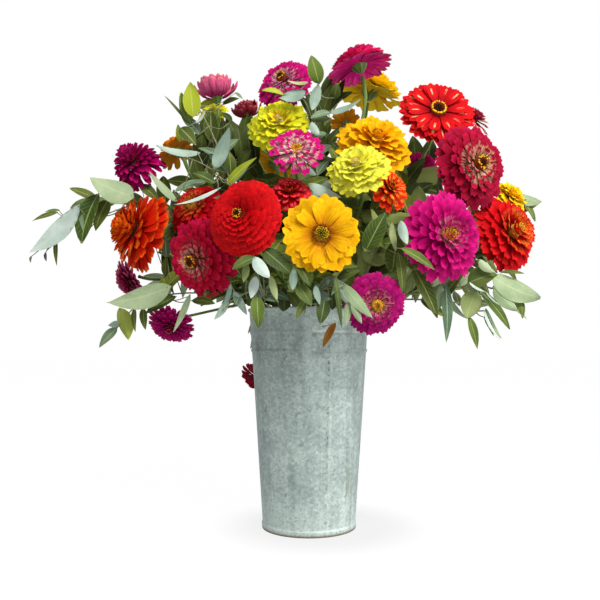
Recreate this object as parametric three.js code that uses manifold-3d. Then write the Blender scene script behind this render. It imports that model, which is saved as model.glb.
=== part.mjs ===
// Zinnia bouquet with grey-green foliage in a tall galvanized flower bucket.
// Millimetres, +Z up. The origin is the middle of the bucket's base, and the bouquet faces -Y.
import * as THREE from 'three';
import { mergeVertices } from 'three/addons/utils/BufferGeometryUtils.js';
import Module from 'manifold-3d';

const wasm = await Module();
wasm.setup();

// Driving dimensions of the bucket: folded steel sheet, two rolled beads and a wired rim.
const VASE_HEIGHT = 335;
const BASE_RADIUS = 71;
const MOUTH_RADIUS = 92;
const WALL = 1;
const FLOOR = 1.5;
const VASE_SIDES = 26;
const BEAD_HEIGHTS = [271, 298];
const BEAD_PROUD = 1.6;
const BEAD_HALF = 4;
const CRIMP_HEIGHT = 8;
const CRIMP_PROUD = 1.2;
const RIM_PROUD = 2.4;
const RIM_DEPTH = 7;
const WATER_LEVEL = 90;

// What lies against something else keeps this gap.
const GAP = 0.4;

// Flower stems press against one another at the neck, as in a hand-tied bunch.
const NECK_HEIGHT = 210;
const NECK_PITCH = 3.2;
const FOOT_RADIUS = 42;
const FOOT_HEIGHT = 2.5;
const STEM_RADIUS = 2.5;
const SHOOT_RADIUS = 2;
const STEM_SIDES = 3;
const CALYX_DEPTH = 9;
const APPROACH_BACK = 20;
const APPROACH_DOWN = 14;
const MOUTH_DROP = 5;
const HOLE_SINK = 8;

// Spray stems stand in the ring between the flower stems and the wall.
const SPRAY_FOOT_RADIUS = 58;
const SPRAY_MOUTH_RADIUS = 83;
const SPRAY_MOUTH_HEIGHT = 341;
const SPRAY_STEM_RADIUS = 1.7;
const LEAF_THICKNESS = 0.8;
const PETAL_THICKNESS = 0.8;

const COLOURS = {
  steel: 0x9aa9a6,
  water: 0x9fb3a6,
  stem: 0x5d7b2c,
  sage: 0x9dae8c,
  grey: 0x7d9485,
  olive: 0x66743a,
  green: 0x4c6a2c,
  scarlet: 0xcf1020,
  crimson: 0x8c0a26,
  burgundy: 0x6a1026,
  flame: 0xdd4a12,
  orange: 0xe8750c,
  gold: 0xf4b000,
  lime: 0xc9c81c,
  magenta: 0xb00c66,
  purple: 0x8f024d,
  mauve: 0xac4964,
};

// How the petals lie, over the bloom's radius: the receptacle's depth below the middle, the disc's
// height above it, and for each whorl its petals, tip radius, tip height, root height and root radius.
const FORMS = {
  double: {
    back: 0.3, top: 0.32,
    whorls: [[9, 1, -0.18, -0.14, 0.24], [7, 0.82, 0.08, 0, 0.26], [4, 0.56, 0.3, 0.14, 0.24]],
  },
  open: {
    back: 0.28, top: 0.22,
    whorls: [[12, 1, 0.02, -0.1, 0.26], [5, 0.6, 0.16, 0.06, 0.24]],
  },
  small: {
    back: 0.32, top: 0.3,
    whorls: [[8, 1, -0.08, -0.12, 0.26], [4, 0.7, 0.2, 0.08, 0.26]],
  },
  pompon: {
    back: 0.6, top: 0.5,
    whorls: [[7, 0.86, -0.5, -0.3, 0.34], [8, 1, -0.06, 0, 0.4], [5, 0.82, 0.42, 0.28, 0.3]],
  },
  half: {
    back: 0.5, top: 0.3,
    whorls: [[7, 1, 0.3, -0.25, 0.3], [4, 0.66, 0.62, 0.08, 0.26]],
  },
};
const RECEPTACLE = 0.17;
const DISC_TOP = 0.16;
const CORE_SIDES = 5;
// Where a petal's two shoulders lie between its notches, and how far its tip may vary.
const SHOULDERS = [0.1, 0.9];
const TIP_LEAST = 0.99;
const TIP_SPREAD = 0.07;
const LIFT_SPREAD = 0.06;

// Every bloom: name, colour, form, middle, diameter, the way it faces, and its stem. A main stem
// passes the mouth at the given x and y; a side shoot leaves a main stem at the given height.
const BLOOMS = [
  ['crown_crimson', 'purple', 'double', [77, 20, 726], 102, [-0.27, 0.06, 0.96], { mouth: [12, 2] }],
  ['crown_gold', 'gold', 'double', [106, 124, 721], 116, [0.2, 0.03, 0.98],
    { on: 'crown_crimson', at: 500 }],
  ['top_magenta', 'magenta', 'double', [-40, 0, 689], 90, [-0.36, -0.82, 0.4], { mouth: [-8, 12] }],
  ['burgundy_bud', 'burgundy', 'half', [-98, 25, 648], 54, [-0.2, -0.4, 0.9],
    { on: 'top_magenta', at: 450 }],
  ['mauve_half_open', 'mauve', 'half', [-145, 10, 676], 72, [-0.1, -0.1, 1], { mouth: [-28, 12] }],
  ['lime_left', 'lime', 'double', [-160, 76, 664], 52, [-0.3, -0.75, 0.6],
    { on: 'mauve_half_open', at: 470 }],
  ['lime_large', 'lime', 'double', [-44, -70, 603], 90, [-0.1, -0.88, 0.45], { mouth: [-8, -18] }],
  ['striped_magenta', 'magenta', 'open', [-17, -150, 542], 77, [0, -0.9, 0.4],
    { on: 'lime_large', at: 430 }],
  ['small_scarlet', 'scarlet', 'small', [-27, -136, 488], 62, [-0.05, -0.8, 0.6],
    { on: 'lime_large', at: 370 }],
  ['orange_left', 'orange', 'small', [-212, 35, 592], 74, [-0.6, 0.2, 0.75], { mouth: [-50, 8] }],
  ['purple_pompon', 'purple', 'pompon', [-271, -13, 563], 87, [-0.55, -0.5, 0.65],
    { on: 'orange_left', at: 440 }],
  ['flame_left', 'flame', 'double', [-260, -60, 450], 108, [-0.82, -0.5, 0.25], { mouth: [-63, -14] }],
  ['purple_left_low', 'purple', 'small', [-277, -13, 375], 65, [-0.7, -0.45, -0.5],
    { on: 'flame_left', at: 380 }],
  ['purple_hanging', 'purple', 'small', [-201, -70, 306], 66, [-0.15, -0.7, -0.7],
    { on: 'flame_left', at: 340 }],
  ['dark_red_left', 'crimson', 'double', [-172, -45, 485], 84, [-0.4, -0.8, 0.4], { mouth: [-44, -24] }],
  ['crimson_left', 'crimson', 'double', [-154, -130, 396], 107, [-0.5, -0.82, -0.26],
    { mouth: [-38, -44] }],
  ['scarlet_front', 'scarlet', 'double', [-87, -190, 446], 101, [-0.33, -0.93, 0.12],
    { mouth: [-18, -56] }],
  ['gold_front', 'gold', 'open', [16, -200, 421], 101, [0.05, -1, 0.05], { mouth: [4, -58] }],
  ['gold_top', 'gold', 'double', [96, -80, 574], 110, [0.15, -0.76, 0.63], { mouth: [18, -20] }],
  ['pale_lime', 'lime', 'double', [64, -150, 520], 84, [-0.25, -0.8, 0.55], { on: 'gold_top', at: 400 }],
  ['small_flame', 'flame', 'small', [113, -106, 500], 66, [0.45, -0.8, 0.3], { on: 'gold_top', at: 370 }],
  ['scarlet_striped', 'scarlet', 'open', [192, -40, 629], 114, [0.05, -0.93, 0.38], { mouth: [36, -4] }],
  ['purple_right', 'purple', 'small', [261, 20, 637], 64, [0.6, -0.35, 0.7],
    { on: 'scarlet_striped', at: 470 }],
  ['magenta_inner', 'magenta', 'small', [180, 44, 572], 56, [0, -0.8, 0.6],
    { on: 'scarlet_striped', at: 420 }],
  ['crimson_right', 'crimson', 'double', [238, -90, 536], 115, [0.42, -0.9, 0.03], { mouth: [46, -22] }],
  ['yellow_right', 'gold', 'small', [317, 10, 512], 64, [0.5, -0.6, 0.6], { on: 'crimson_right', at: 400 }],
  ['magenta_right', 'magenta', 'double', [184, -150, 427], 118, [0.38, -0.92, 0.06], { mouth: [36, -46] }],
  ['scarlet_right', 'scarlet', 'double', [298, -60, 446], 110, [0.58, -0.78, 0.2], { mouth: [62, -12] }],
  ['magenta_low', 'magenta', 'double', [90, -150, 334], 82, [0.15, -0.95, -0.2],
    { on: 'gold_front', at: 340 }],
  ['back_magenta', 'magenta', 'double', [-145, 165, 505], 96, [-0.5, 0.75, 0.4], { mouth: [-26, 44] }],
  ['back_purple', 'purple', 'small', [-202, 118, 432], 72, [-0.8, 0.5, 0.2],
    { on: 'back_magenta', at: 380 }],
  ['crimson_hanging', 'crimson', 'small', [-88, 84, 222], 60, [-0.5, 0.5, -0.7],
    { on: 'back_magenta', at: 350, via: [[-64, 76, 366], [-82, 88, 320]] }],
  ['back_gold', 'gold', 'double', [-60, 145, 600], 94, [-0.2, 0.8, 0.55], { mouth: [-6, 34] }],
  ['back_scarlet', 'scarlet', 'double', [0, 205, 475], 100, [0, 0.98, 0.15], { on: 'back_gold', at: 360 }],
  ['back_lime', 'lime', 'small', [5, 190, 362], 76, [0.1, 0.95, -0.2], { mouth: [12, 60] }],
  ['back_crimson', 'crimson', 'double', [145, 165, 505], 98, [0.5, 0.75, 0.4], { mouth: [26, 40] }],
  ['back_orange', 'orange', 'small', [66, 132, 662], 58, [0.25, 0.8, 0.5], { on: 'back_crimson', at: 420 }],
  ['back_flame', 'flame', 'small', [235, 120, 440], 80, [0.8, 0.55, 0.2], { mouth: [50, 30] }],
];

// Every foliage spray: name, colour, bearing of its stem in the mouth, leaf length, leaf width, and
// its way from the mouth outwards. Arms leave the first way at the point with the given number.
const SPRAYS = [
  { name: 'spray_left_high', tone: 'sage', bearing: 184, leaf: 80, wide: 28,
    way: [[-125, 25, 405], [-205, 50, 468], [-280, 20, 500], [-338, -35, 484], [-374, -58, 446]],
    arms: [[3, [-310, -40, 470], [-322, -66, 446]]] },
  { name: 'spray_left_low', tone: 'sage', bearing: 200, leaf: 74, wide: 27,
    way: [[-118, -44, 350], [-180, -30, 358], [-238, -80, 342], [-264, -90, 318]], arms: [] },
  { name: 'spray_right_high', tone: 'sage', bearing: 6, leaf: 62, wide: 23,
    way: [[135, 30, 395], [220, 60, 445], [290, 66, 472], [332, 48, 490]], arms: [] },
  { name: 'spray_right_out', tone: 'sage', bearing: 340, leaf: 74, wide: 26,
    way: [[125, -48, 350], [190, -72, 360], [245, -72, 366], [286, -64, 356]], arms: [] },
  { name: 'spray_right_drop', tone: 'olive', bearing: 328, leaf: 60, wide: 19,
    way: [[112, -74, 345], [165, -92, 344], [214, -98, 338], [240, -86, 326]],
    arms: [[2, [188, -110, 334], [198, -118, 322]]] },
  { name: 'spray_right_mid', tone: 'green', bearing: 312, leaf: 56, wide: 23,
    way: [[78, -86, 375], [98, -100, 420], [110, -110, 448]], arms: [] },
  { name: 'spray_front_left', tone: 'grey', bearing: 250, leaf: 38, wide: 14,
    way: [[-40, -100, 354], [-64, -136, 356], [-94, -160, 344], [-112, -172, 326]],
    arms: [[2, [-58, -162, 342], [-62, -176, 324]]] },
  { name: 'spray_front_right', tone: 'grey', bearing: 265, leaf: 38, wide: 14,
    way: [[0, -104, 354], [10, -140, 354], [0, -165, 340], [-6, -175, 322]],
    arms: [[2, [38, -158, 360], [52, -190, 354], [58, -202, 338]]] },
  { name: 'spray_top_centre', tone: 'grey', bearing: 298, leaf: 42, wide: 18,
    way: [[34, -60, 420], [14, -40, 520], [8, -44, 600], [12, -50, 664]],
    arms: [[3, [-4, -60, 632], [-20, -80, 644]], [3, [32, -62, 622], [48, -76, 634]]] },
  { name: 'spray_left_top', tone: 'grey', bearing: 214, leaf: 52, wide: 19,
    way: [[-84, -58, 420], [-112, -58, 510], [-140, -56, 585], [-162, -62, 628]],
    arms: [[2, [-146, -92, 534], [-172, -110, 542]]] },
  { name: 'spray_back_left', tone: 'sage', bearing: 146, leaf: 70, wide: 24,
    way: [[-140, 110, 385], [-210, 165, 402], [-264, 200, 390], [-296, 215, 356]], arms: [] },
  { name: 'spray_back_centre', tone: 'olive', bearing: 108, leaf: 62, wide: 22,
    way: [[-50, 130, 370], [-75, 190, 385], [-85, 235, 350], [-90, 250, 300]], arms: [] },
  { name: 'spray_back_right', tone: 'sage', bearing: 36, leaf: 70, wide: 24,
    way: [[135, 100, 375], [200, 155, 388], [258, 195, 382], [292, 212, 350]], arms: [] },
  { name: 'spray_back_low', tone: 'grey', bearing: 62, leaf: 54, wide: 20,
    way: [[55, 115, 352], [85, 165, 364], [105, 200, 350], [114, 222, 318]], arms: [] },
  { name: 'spray_back_top', tone: 'olive', bearing: 88, leaf: 52, wide: 20,
    way: [[8, 90, 420], [6, 96, 540], [12, 92, 610], [16, 86, 664]], arms: [] },
];

// Leaf pairs along a spray: their spacing, how far they lean out from the stem, how each pair is
// turned against the last, and how much the leaves differ and shrink towards the tip.
const PAIR_SPACING = 76;
const LEAF_LEAN = 0.9;
const PAIR_TURN = 0.8;
const TURN_SPREAD = 0.3;
const LEAF_LEAST = 0.82;
const LEAF_SPREAD = 0.3;
const LEAF_SHRINK = 0.35;
const BACK_FROM = 80;
const TIP_SINK = 4;
const TIP_LEAN = 0.1;
const TIP_SCALE = 0.7;
const LEAF_TURNS = [0, 0.45, -0.45, 0.9, -0.9];
const SHOOT_LEAF = { length: 66, wide: 30 };

// Draws the same numbers between 0 and 1 on every run.
function draws(seed) {
  let state = seed;
  return () => {
    state = (state * 1664525 + 1013904223) % 4294967296;
    return state / 4294967296;
  };
}

function vec(p) {
  return new THREE.Vector3(p[0], p[1], p[2]);
}

// A solid from a closed geometry, with shared corners and without the flat slivers at its poles.
function solidFrom(geometry) {
  geometry.deleteAttribute('normal');
  geometry.deleteAttribute('uv');
  const merged = mergeVertices(geometry, 1e-3);
  const corners = [];
  for (let i = 0; i < merged.index.count; i += 3) {
    const tri = [merged.index.getX(i), merged.index.getX(i + 1), merged.index.getX(i + 2)];
    if (new Set(tri).size === 3) corners.push(...tri);
  }
  return new wasm.Manifold(new wasm.Mesh({
    numProp: 3,
    vertProperties: new Float32Array(merged.attributes.position.array),
    triVerts: new Uint32Array(corners),
  }));
}

function geometryFrom(points, faces) {
  const geometry = new THREE.BufferGeometry();
  const numbers = points.flatMap((p) => p.toArray());
  geometry.setAttribute('position', new THREE.Float32BufferAttribute(numbers, 3));
  geometry.setIndex(faces.flat());
  return geometry;
}

// Turns a profile of [radius, height] points round the Z axis.
function turned(profile, sides) {
  const outline = profile.map(([radius, height]) => new THREE.Vector2(radius, height));
  const geometry = new THREE.LatheGeometry(outline, sides);
  geometry.rotateX(Math.PI / 2);
  return geometry;
}

// Carries a regular polygon along a line of points, with a radius at each, and closes both ends.
function tube(line, radii, sides) {
  const points = [];
  const faces = [];
  let across = new THREE.Vector3(1, 0.2, 0.1);
  for (let i = 0; i < line.length; i += 1) {
    const before = line[Math.max(i - 1, 0)];
    const after = line[Math.min(i + 1, line.length - 1)];
    const along = after.clone().sub(before).normalize();
    across = across.clone().addScaledVector(along, -across.dot(along)).normalize();
    const third = along.clone().cross(across);
    for (let k = 0; k < sides; k += 1) {
      const angle = (2 * Math.PI * k) / sides;
      points.push(line[i].clone()
        .addScaledVector(across, radii[i] * Math.cos(angle))
        .addScaledVector(third, radii[i] * Math.sin(angle)));
    }
  }
  for (let i = 0; i + 1 < line.length; i += 1) {
    for (let k = 0; k < sides; k += 1) {
      const a = i * sides + k;
      const b = i * sides + ((k + 1) % sides);
      faces.push([a, b, b + sides], [a, b + sides, a + sides]);
    }
  }
  const last = (line.length - 1) * sides;
  for (let k = 1; k + 1 < sides; k += 1) {
    faces.push([0, k + 1, k], [last, last + k, last + k + 1]);
  }
  return geometryFrom(points, faces);
}

// A thin plate between an outline, fanned from its first point, and a copy moved by the given step.
function plate(outline, step) {
  const points = [...outline, ...outline.map((p) => p.clone().add(step))];
  const faces = [];
  const n = outline.length;
  for (let k = 0; k < n; k += 1) {
    const next = (k + 1) % n;
    if (k > 0 && next > 0) faces.push([0, k, next], [n, n + next, n + k]);
    faces.push([k, k + n, next + n], [k, next + n, next]);
  }
  return geometryFrom(points, faces);
}

function wallRadius(height) {
  return BASE_RADIUS + ((MOUTH_RADIUS - BASE_RADIUS) * height) / VASE_HEIGHT;
}

// The bucket: flat bottom with a crimped foot, flared wall, two beads and a rolled rim.
function vaseSolid() {
  const profile = [
    [0, 0], [BASE_RADIUS + 0.3, 0], [BASE_RADIUS + CRIMP_PROUD, 0.35 * CRIMP_HEIGHT],
    [wallRadius(CRIMP_HEIGHT), CRIMP_HEIGHT],
  ];
  for (const height of BEAD_HEIGHTS) {
    profile.push([wallRadius(height - BEAD_HALF), height - BEAD_HALF]);
    profile.push([wallRadius(height) + BEAD_PROUD, height]);
    profile.push([wallRadius(height + BEAD_HALF), height + BEAD_HALF]);
  }
  profile.push([wallRadius(VASE_HEIGHT - RIM_DEPTH), VASE_HEIGHT - RIM_DEPTH]);
  profile.push([MOUTH_RADIUS + RIM_PROUD, VASE_HEIGHT - 0.7 * RIM_DEPTH]);
  profile.push([MOUTH_RADIUS + RIM_PROUD, VASE_HEIGHT - 1.5]);
  profile.push([MOUTH_RADIUS + 0.5, VASE_HEIGHT]);
  profile.push([MOUTH_RADIUS - WALL, VASE_HEIGHT - 1]);
  profile.push([wallRadius(FLOOR) - WALL, FLOOR], [0, FLOOR]);
  return solidFrom(turned(profile, VASE_SIDES));
}

// The water, with a plain hole round each stem that stands in it.
function waterSolid(holes) {
  const low = FLOOR + GAP;
  const profile = [
    [0, low], [wallRadius(low) - WALL - GAP, low],
    [wallRadius(WATER_LEVEL) - WALL - GAP, WATER_LEVEL], [0, WATER_LEVEL],
  ];
  return holes.reduce((body, hole) => body.subtract(hole), solidFrom(turned(profile, VASE_SIDES)));
}

// A ring of points at one height, each with its angle.
function ringOf(count, radius, height, start) {
  return Array.from({ length: count }, (_, k) => {
    const angle = start + (2 * Math.PI * k) / count;
    return { angle, at: [radius * Math.cos(angle), radius * Math.sin(angle), height] };
  });
}

// A bloom as one closed skin. It runs up the core, and out and back along the two faces of every
// whorl, whose petals widen from a notch at the core to a pair of shoulders.
function bloomGeometry([, , form, middle, diameter, faces], seed) {
  const radius = diameter / 2;
  const draw = draws(seed);
  const points = [];
  const skin = [];
  const add = (ring) => ring.map(({ angle, at }) => ({ angle, id: points.push(vec(at)) - 1 }));
  const zip = (low, high) => {
    const turn = (k, ring) => ring[k % ring.length].angle + 2 * Math.PI * Math.floor(k / ring.length);
    let i = 0;
    let j = 0;
    while (i < low.length || j < high.length) {
      const a = low[i % low.length].id;
      const b = high[j % high.length].id;
      const lowNext = turn(i + 1, low) - low[0].angle;
      const highNext = turn(j + 1, high) - high[0].angle;
      if (j >= high.length || (i < low.length && lowNext <= highNext)) {
        i += 1;
        skin.push([a, low[i % low.length].id, b]);
      } else {
        j += 1;
        skin.push([a, high[j % high.length].id, b]);
      }
    }
  };
  const { back, top, whorls } = FORMS[form];
  const bottom = add(ringOf(CORE_SIDES, RECEPTACLE * radius, -back * radius, 0));
  for (let k = 1; k + 1 < CORE_SIDES; k += 1) skin.push([bottom[0].id, bottom[k + 1].id, bottom[k].id]);
  let below = bottom;
  for (const [count, reach, rise, root, rootRadius] of whorls) {
    const step = (2 * Math.PI) / count;
    const start = 0.4 * step * draw();
    const slope = (rise - root) / (reach - rootRadius);
    const drop = PETAL_THICKNESS * Math.hypot(1, slope);
    const under = add(ringOf(count, rootRadius * radius, root * radius - drop, start));
    const over = add(ringOf(count, rootRadius * radius, root * radius, start));
    zip(below, under);
    for (let j = 0; j < count; j += 1) {
      const next = (j + 1) % count;
      const tip = radius * reach * (TIP_LEAST + TIP_SPREAD * draw());
      const lift = radius * (rise + LIFT_SPREAD * (draw() - 0.5));
      const shoulders = SHOULDERS.map((part) => {
        const angle = start + (j + part) * step;
        return [tip * Math.cos(angle), tip * Math.sin(angle)];
      });
      const [leftTop, rightTop] = shoulders.map(([x, y]) => points.push(vec([x, y, lift])) - 1);
      const [leftLow, rightLow] = shoulders.map(([x, y]) => points.push(vec([x, y, lift - drop])) - 1);
      const [a, b, c, d] = [over[j].id, over[next].id, under[j].id, under[next].id];
      skin.push([a, leftTop, rightTop], [a, rightTop, b]);
      skin.push([c, rightLow, leftLow], [c, d, rightLow]);
      skin.push([c, leftLow, leftTop], [c, leftTop, a]);
      skin.push([leftLow, rightLow, rightTop], [leftLow, rightTop, leftTop]);
      skin.push([rightLow, d, b], [rightLow, b, rightTop]);
    }
    below = over;
  }
  const disc = add(ringOf(CORE_SIDES, DISC_TOP * radius, top * radius, 0));
  zip(below, disc);
  for (let k = 1; k + 1 < CORE_SIDES; k += 1) skin.push([disc[0].id, disc[k].id, disc[k + 1].id]);
  const turn = new THREE.Quaternion().setFromUnitVectors(
    new THREE.Vector3(0, 0, 1), vec(faces).normalize());
  const place = new THREE.Matrix4().compose(vec(middle), turn, new THREE.Vector3(1, 1, 1));
  return geometryFrom(points, skin).applyMatrix4(place);
}

// Stations along a smooth curve through the points, with so many steps in each stretch.
function stations(points, steps) {
  const curve = new THREE.CatmullRomCurve3(points, false, 'centripetal');
  const line = [points[0]];
  for (let i = 0; i + 1 < points.length; i += 1) {
    for (let j = 1; j <= steps[i]; j += 1) {
      line.push(curve.getPoint((i + j / steps[i]) / (points.length - 1)));
    }
  }
  return line;
}

// Where each main stem passes the neck: they stand side by side in a ring, in the order of their
// bearings at the mouth, close enough to press into one another.
function neckBearings() {
  const bearing = ([x, y]) => Math.atan2(y, x);
  const mains = BLOOMS.filter((bloom) => bloom[6].mouth);
  mains.sort((p, q) => bearing(p[6].mouth) - bearing(q[6].mouth));
  const first = bearing(mains[0][6].mouth);
  const radius = (NECK_PITCH * mains.length) / (2 * Math.PI);
  return new Map(mains.map((bloom, k) => {
    const angle = first + (2 * Math.PI * k) / mains.length;
    return [bloom[0], { x: Math.cos(angle), y: Math.sin(angle), radius }];
  }));
}

// The way of one flower's stem: from its foot or its main stem, up to just under the calyx.
function stemLine([name, , form, middle, diameter, faces, rule], mains, necks) {
  const normal = vec(faces).normalize();
  const seat = vec(middle).addScaledVector(normal, -FORMS[form].back * (diameter / 2) - GAP);
  const neck = seat.clone().addScaledVector(normal, -CALYX_DEPTH);
  const approach = neck.clone().addScaledVector(normal, -APPROACH_BACK);
  approach.z -= APPROACH_DOWN;
  const via = (rule.via ?? []).map(vec);
  let line;
  if (rule.mouth) {
    const { x, y, radius } = necks.get(name);
    const low = new THREE.Vector3(FOOT_RADIUS * x, FOOT_RADIUS * y, FOOT_HEIGHT);
    const tie = new THREE.Vector3(radius * x, radius * y, NECK_HEIGHT);
    const mouth = vec([...rule.mouth, VASE_HEIGHT - MOUTH_DROP]);
    line = stations([low, tie, mouth, ...via, approach, neck], [2, 1, ...via.map(() => 2), 3, 1]);
  } else {
    const main = mains.get(rule.on);
    const start = main.find((p) => p.z >= rule.at);
    line = stations([start, ...via, approach, neck], [...via.map(() => 2), 2, 1]);
  }
  return { line, seat, normal };
}

// A leaf: a thin blade folded a little along its midrib, pointed at both ends.
function leafGeometry(root, along, up, length, wide) {
  const side = along.clone().cross(up).normalize();
  const face = side.clone().cross(along).normalize();
  const at = (s, w, h) => root.clone()
    .addScaledVector(along, s * length)
    .addScaledVector(side, w * wide)
    .addScaledVector(face, h * length);
  const outline = [
    at(0, 0, 0), at(0.28, 0.5, 0.04), at(0.66, 0.44, 0.03), at(1, 0, -0.04),
    at(0.66, -0.44, 0.03), at(0.28, -0.5, 0.04),
  ];
  return plate(outline, face.clone().multiplyScalar(-LEAF_THICKNESS));
}

function crosses(solid, others) {
  const box = solid.boundingBox();
  return others.some((other) => {
    const { min, max } = other.box;
    const apart = [0, 1, 2].some((k) => box.min[k] > max[k] || box.max[k] < min[k]);
    return !apart && other.solid.intersect(solid).volume() > 1e-6;
  });
}

// The upper faces of the leaves look up and out of the bouquet, to the front or to the back.
function outlook(root) {
  return new THREE.Vector3(0.0015 * root.x, root.y > BACK_FROM ? 0.9 : -0.9, 0.5).normalize();
}

// Puts a leaf on a stem at one of a few turns where it is clear of its neighbours, or leaves it out.
function clearLeaf(root, along, around, lean, size, others) {
  for (const turn of LEAF_TURNS) {
    const side = around.clone().applyAxisAngle(along, turn);
    const way = along.clone().multiplyScalar(Math.cos(lean)).addScaledVector(side, Math.sin(lean));
    const leaf = solidFrom(leafGeometry(root, way, outlook(root), size.length, size.wide));
    if (!crosses(leaf, others)) return leaf;
  }
  return null;
}

// Opposite pairs of leaves along a line from the given station on, each pair turned across the last.
function leafPairs(line, first, size, tip, others, draw) {
  const leaves = [];
  let travelled = 0;
  let pair = 0;
  for (let i = first; i + 2 < line.length; i += 1) {
    travelled += line[i].distanceTo(line[i + 1]);
    if (travelled < PAIR_SPACING) continue;
    travelled = 0;
    const root = line[i + 1];
    const along = line[i + 1].clone().sub(line[i]).normalize();
    const flat = along.clone().cross(outlook(root)).normalize();
    const turn = (pair % 2) * PAIR_TURN + TURN_SPREAD * (draw() - 0.5);
    pair += 1;
    for (const hand of [0, Math.PI]) {
      const around = flat.clone().applyAxisAngle(along, turn + hand);
      const scale = (LEAF_LEAST + LEAF_SPREAD * draw()) * (1 - LEAF_SHRINK * (i / line.length));
      const leaf = clearLeaf(root, along, around, LEAF_LEAN, {
        length: size.length * scale, wide: size.wide * scale,
      }, others);
      if (leaf) leaves.push(leaf);
    }
  }
  if (tip) {
    const end = line[line.length - 1];
    const along = end.clone().sub(line[line.length - 2]).normalize();
    const around = along.clone().cross(outlook(end)).normalize();
    const root = end.clone().addScaledVector(along, -TIP_SINK);
    const small = { length: TIP_SCALE * size.length, wide: TIP_SCALE * size.wide };
    const leaf = clearLeaf(root, along, around, TIP_LEAN, small, others);
    if (leaf) leaves.push(leaf);
  }
  return leaves;
}

// The hole that a stem stands in: a little wider than the stem, from under its foot upwards.
function stemHole([foot, wet, dry], radius) {
  const deeper = foot.clone().addScaledVector(wet.clone().sub(foot).normalize(), -HOLE_SINK);
  return solidFrom(tube([deeper, wet, dry], Array(3).fill(radius + 2 * GAP), STEM_SIDES));
}

// All flower stems with their calyxes and leaves, one body held together at the neck.
function flowerStems(others) {
  const mains = new Map();
  const necks = neckBearings();
  const parts = [];
  const holes = [];
  BLOOMS.forEach((bloom, index) => {
    const { line, seat, normal } = stemLine(bloom, mains, necks);
    const isMain = Boolean(bloom[6].mouth);
    if (isMain) mains.set(bloom[0], line);
    const radius = isMain ? STEM_RADIUS : SHOOT_RADIUS;
    const cup = RECEPTACLE * (bloom[4] / 2);
    const shoulder = seat.clone().addScaledVector(normal, -0.45 * CALYX_DEPTH);
    const radii = [...line.map(() => radius), Math.max(cup, radius), cup];
    parts.push(solidFrom(tube([...line, shoulder, seat], radii, STEM_SIDES)));
    if (isMain) {
      holes.push(stemHole(line, radius));
      const leaves = leafPairs(line.slice(3, -1), 0, SHOOT_LEAF, false, others, draws(900 + index));
      parts.push(...leaves.slice(0, index % 3 === 1 ? 1 : 0));
    }
  });
  return { solid: parts.reduce((body, piece) => body.add(piece)), holes };
}

// A spray: one woody stem with its arms, and opposite leaves fused to them.
function sprayParts(spray, others, seed) {
  const bearing = (spray.bearing * Math.PI) / 180;
  const polar = (radius, height) => new THREE.Vector3(
    radius * Math.cos(bearing), radius * Math.sin(bearing), height);
  const low = polar(SPRAY_FOOT_RADIUS, FOOT_HEIGHT);
  const mouth = polar(SPRAY_MOUTH_RADIUS, SPRAY_MOUTH_HEIGHT);
  const way = spray.way.map(vec);
  const main = stations([low, mouth, ...way], [2, 2, ...way.slice(1).map(() => 2)]);
  const taper = (line, from) => line.map((_, i) => from - (0.5 * from * i) / line.length);
  const draw = draws(seed);
  const size = { length: spray.leaf, wide: spray.wide };
  const stems = [solidFrom(tube(main, taper(main, SPRAY_STEM_RADIUS), STEM_SIDES))];
  const leaves = leafPairs(main, 4, size, true, others, draw);
  for (const [from, ...points] of spray.arms) {
    const line = stations([way[from - 1], ...points.map(vec)], points.map(() => 2));
    stems.push(solidFrom(tube(line, taper(line, 0.7 * SPRAY_STEM_RADIUS), STEM_SIDES)));
    leaves.push(...leafPairs(line, 1, size, true, others, draw));
  }
  const hole = stemHole(main, SPRAY_STEM_RADIUS);
  return { solid: [...stems, ...leaves].reduce((body, piece) => body.add(piece)), hole };
}

// A mesh that shows a solid in a colour.
function shown(name, solid, colour, roughness, metalness) {
  const mesh = solid.getMesh();
  const geometry = new THREE.BufferGeometry();
  geometry.setAttribute('position', new THREE.Float32BufferAttribute(mesh.vertProperties, 3));
  geometry.setIndex(Array.from(mesh.triVerts));
  geometry.computeVertexNormals();
  const material = new THREE.MeshStandardMaterial({ color: colour, roughness, metalness });
  const piece = new THREE.Mesh(geometry, material);
  piece.name = name;
  return piece;
}

const bouquet = new THREE.Group();
const placed = [];

function place(name, solid, colour, roughness = 0.6, metalness = 0) {
  placed.push({ solid, box: solid.boundingBox() });
  bouquet.add(shown(name, solid, colour, roughness, metalness));
}

place('vase', vaseSolid(), COLOURS.steel, 0.45, 0.7);
BLOOMS.forEach((bloom, index) => {
  place(bloom[0], solidFrom(bloomGeometry(bloom, 11 + 7 * index)), COLOURS[bloom[1]]);
});
const stems = flowerStems(placed);
place('flower_stems', stems.solid, COLOURS.stem);
const sprayHoles = SPRAYS.map((spray, index) => {
  const { solid, hole } = sprayParts(spray, placed, 500 + 13 * index);
  place(spray.name, solid, COLOURS[spray.tone]);
  return hole;
});
place('water', waterSolid([...stems.holes, ...sprayHoles]), COLOURS.water, 0.1);

export default bouquet;
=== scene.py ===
import math

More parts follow.
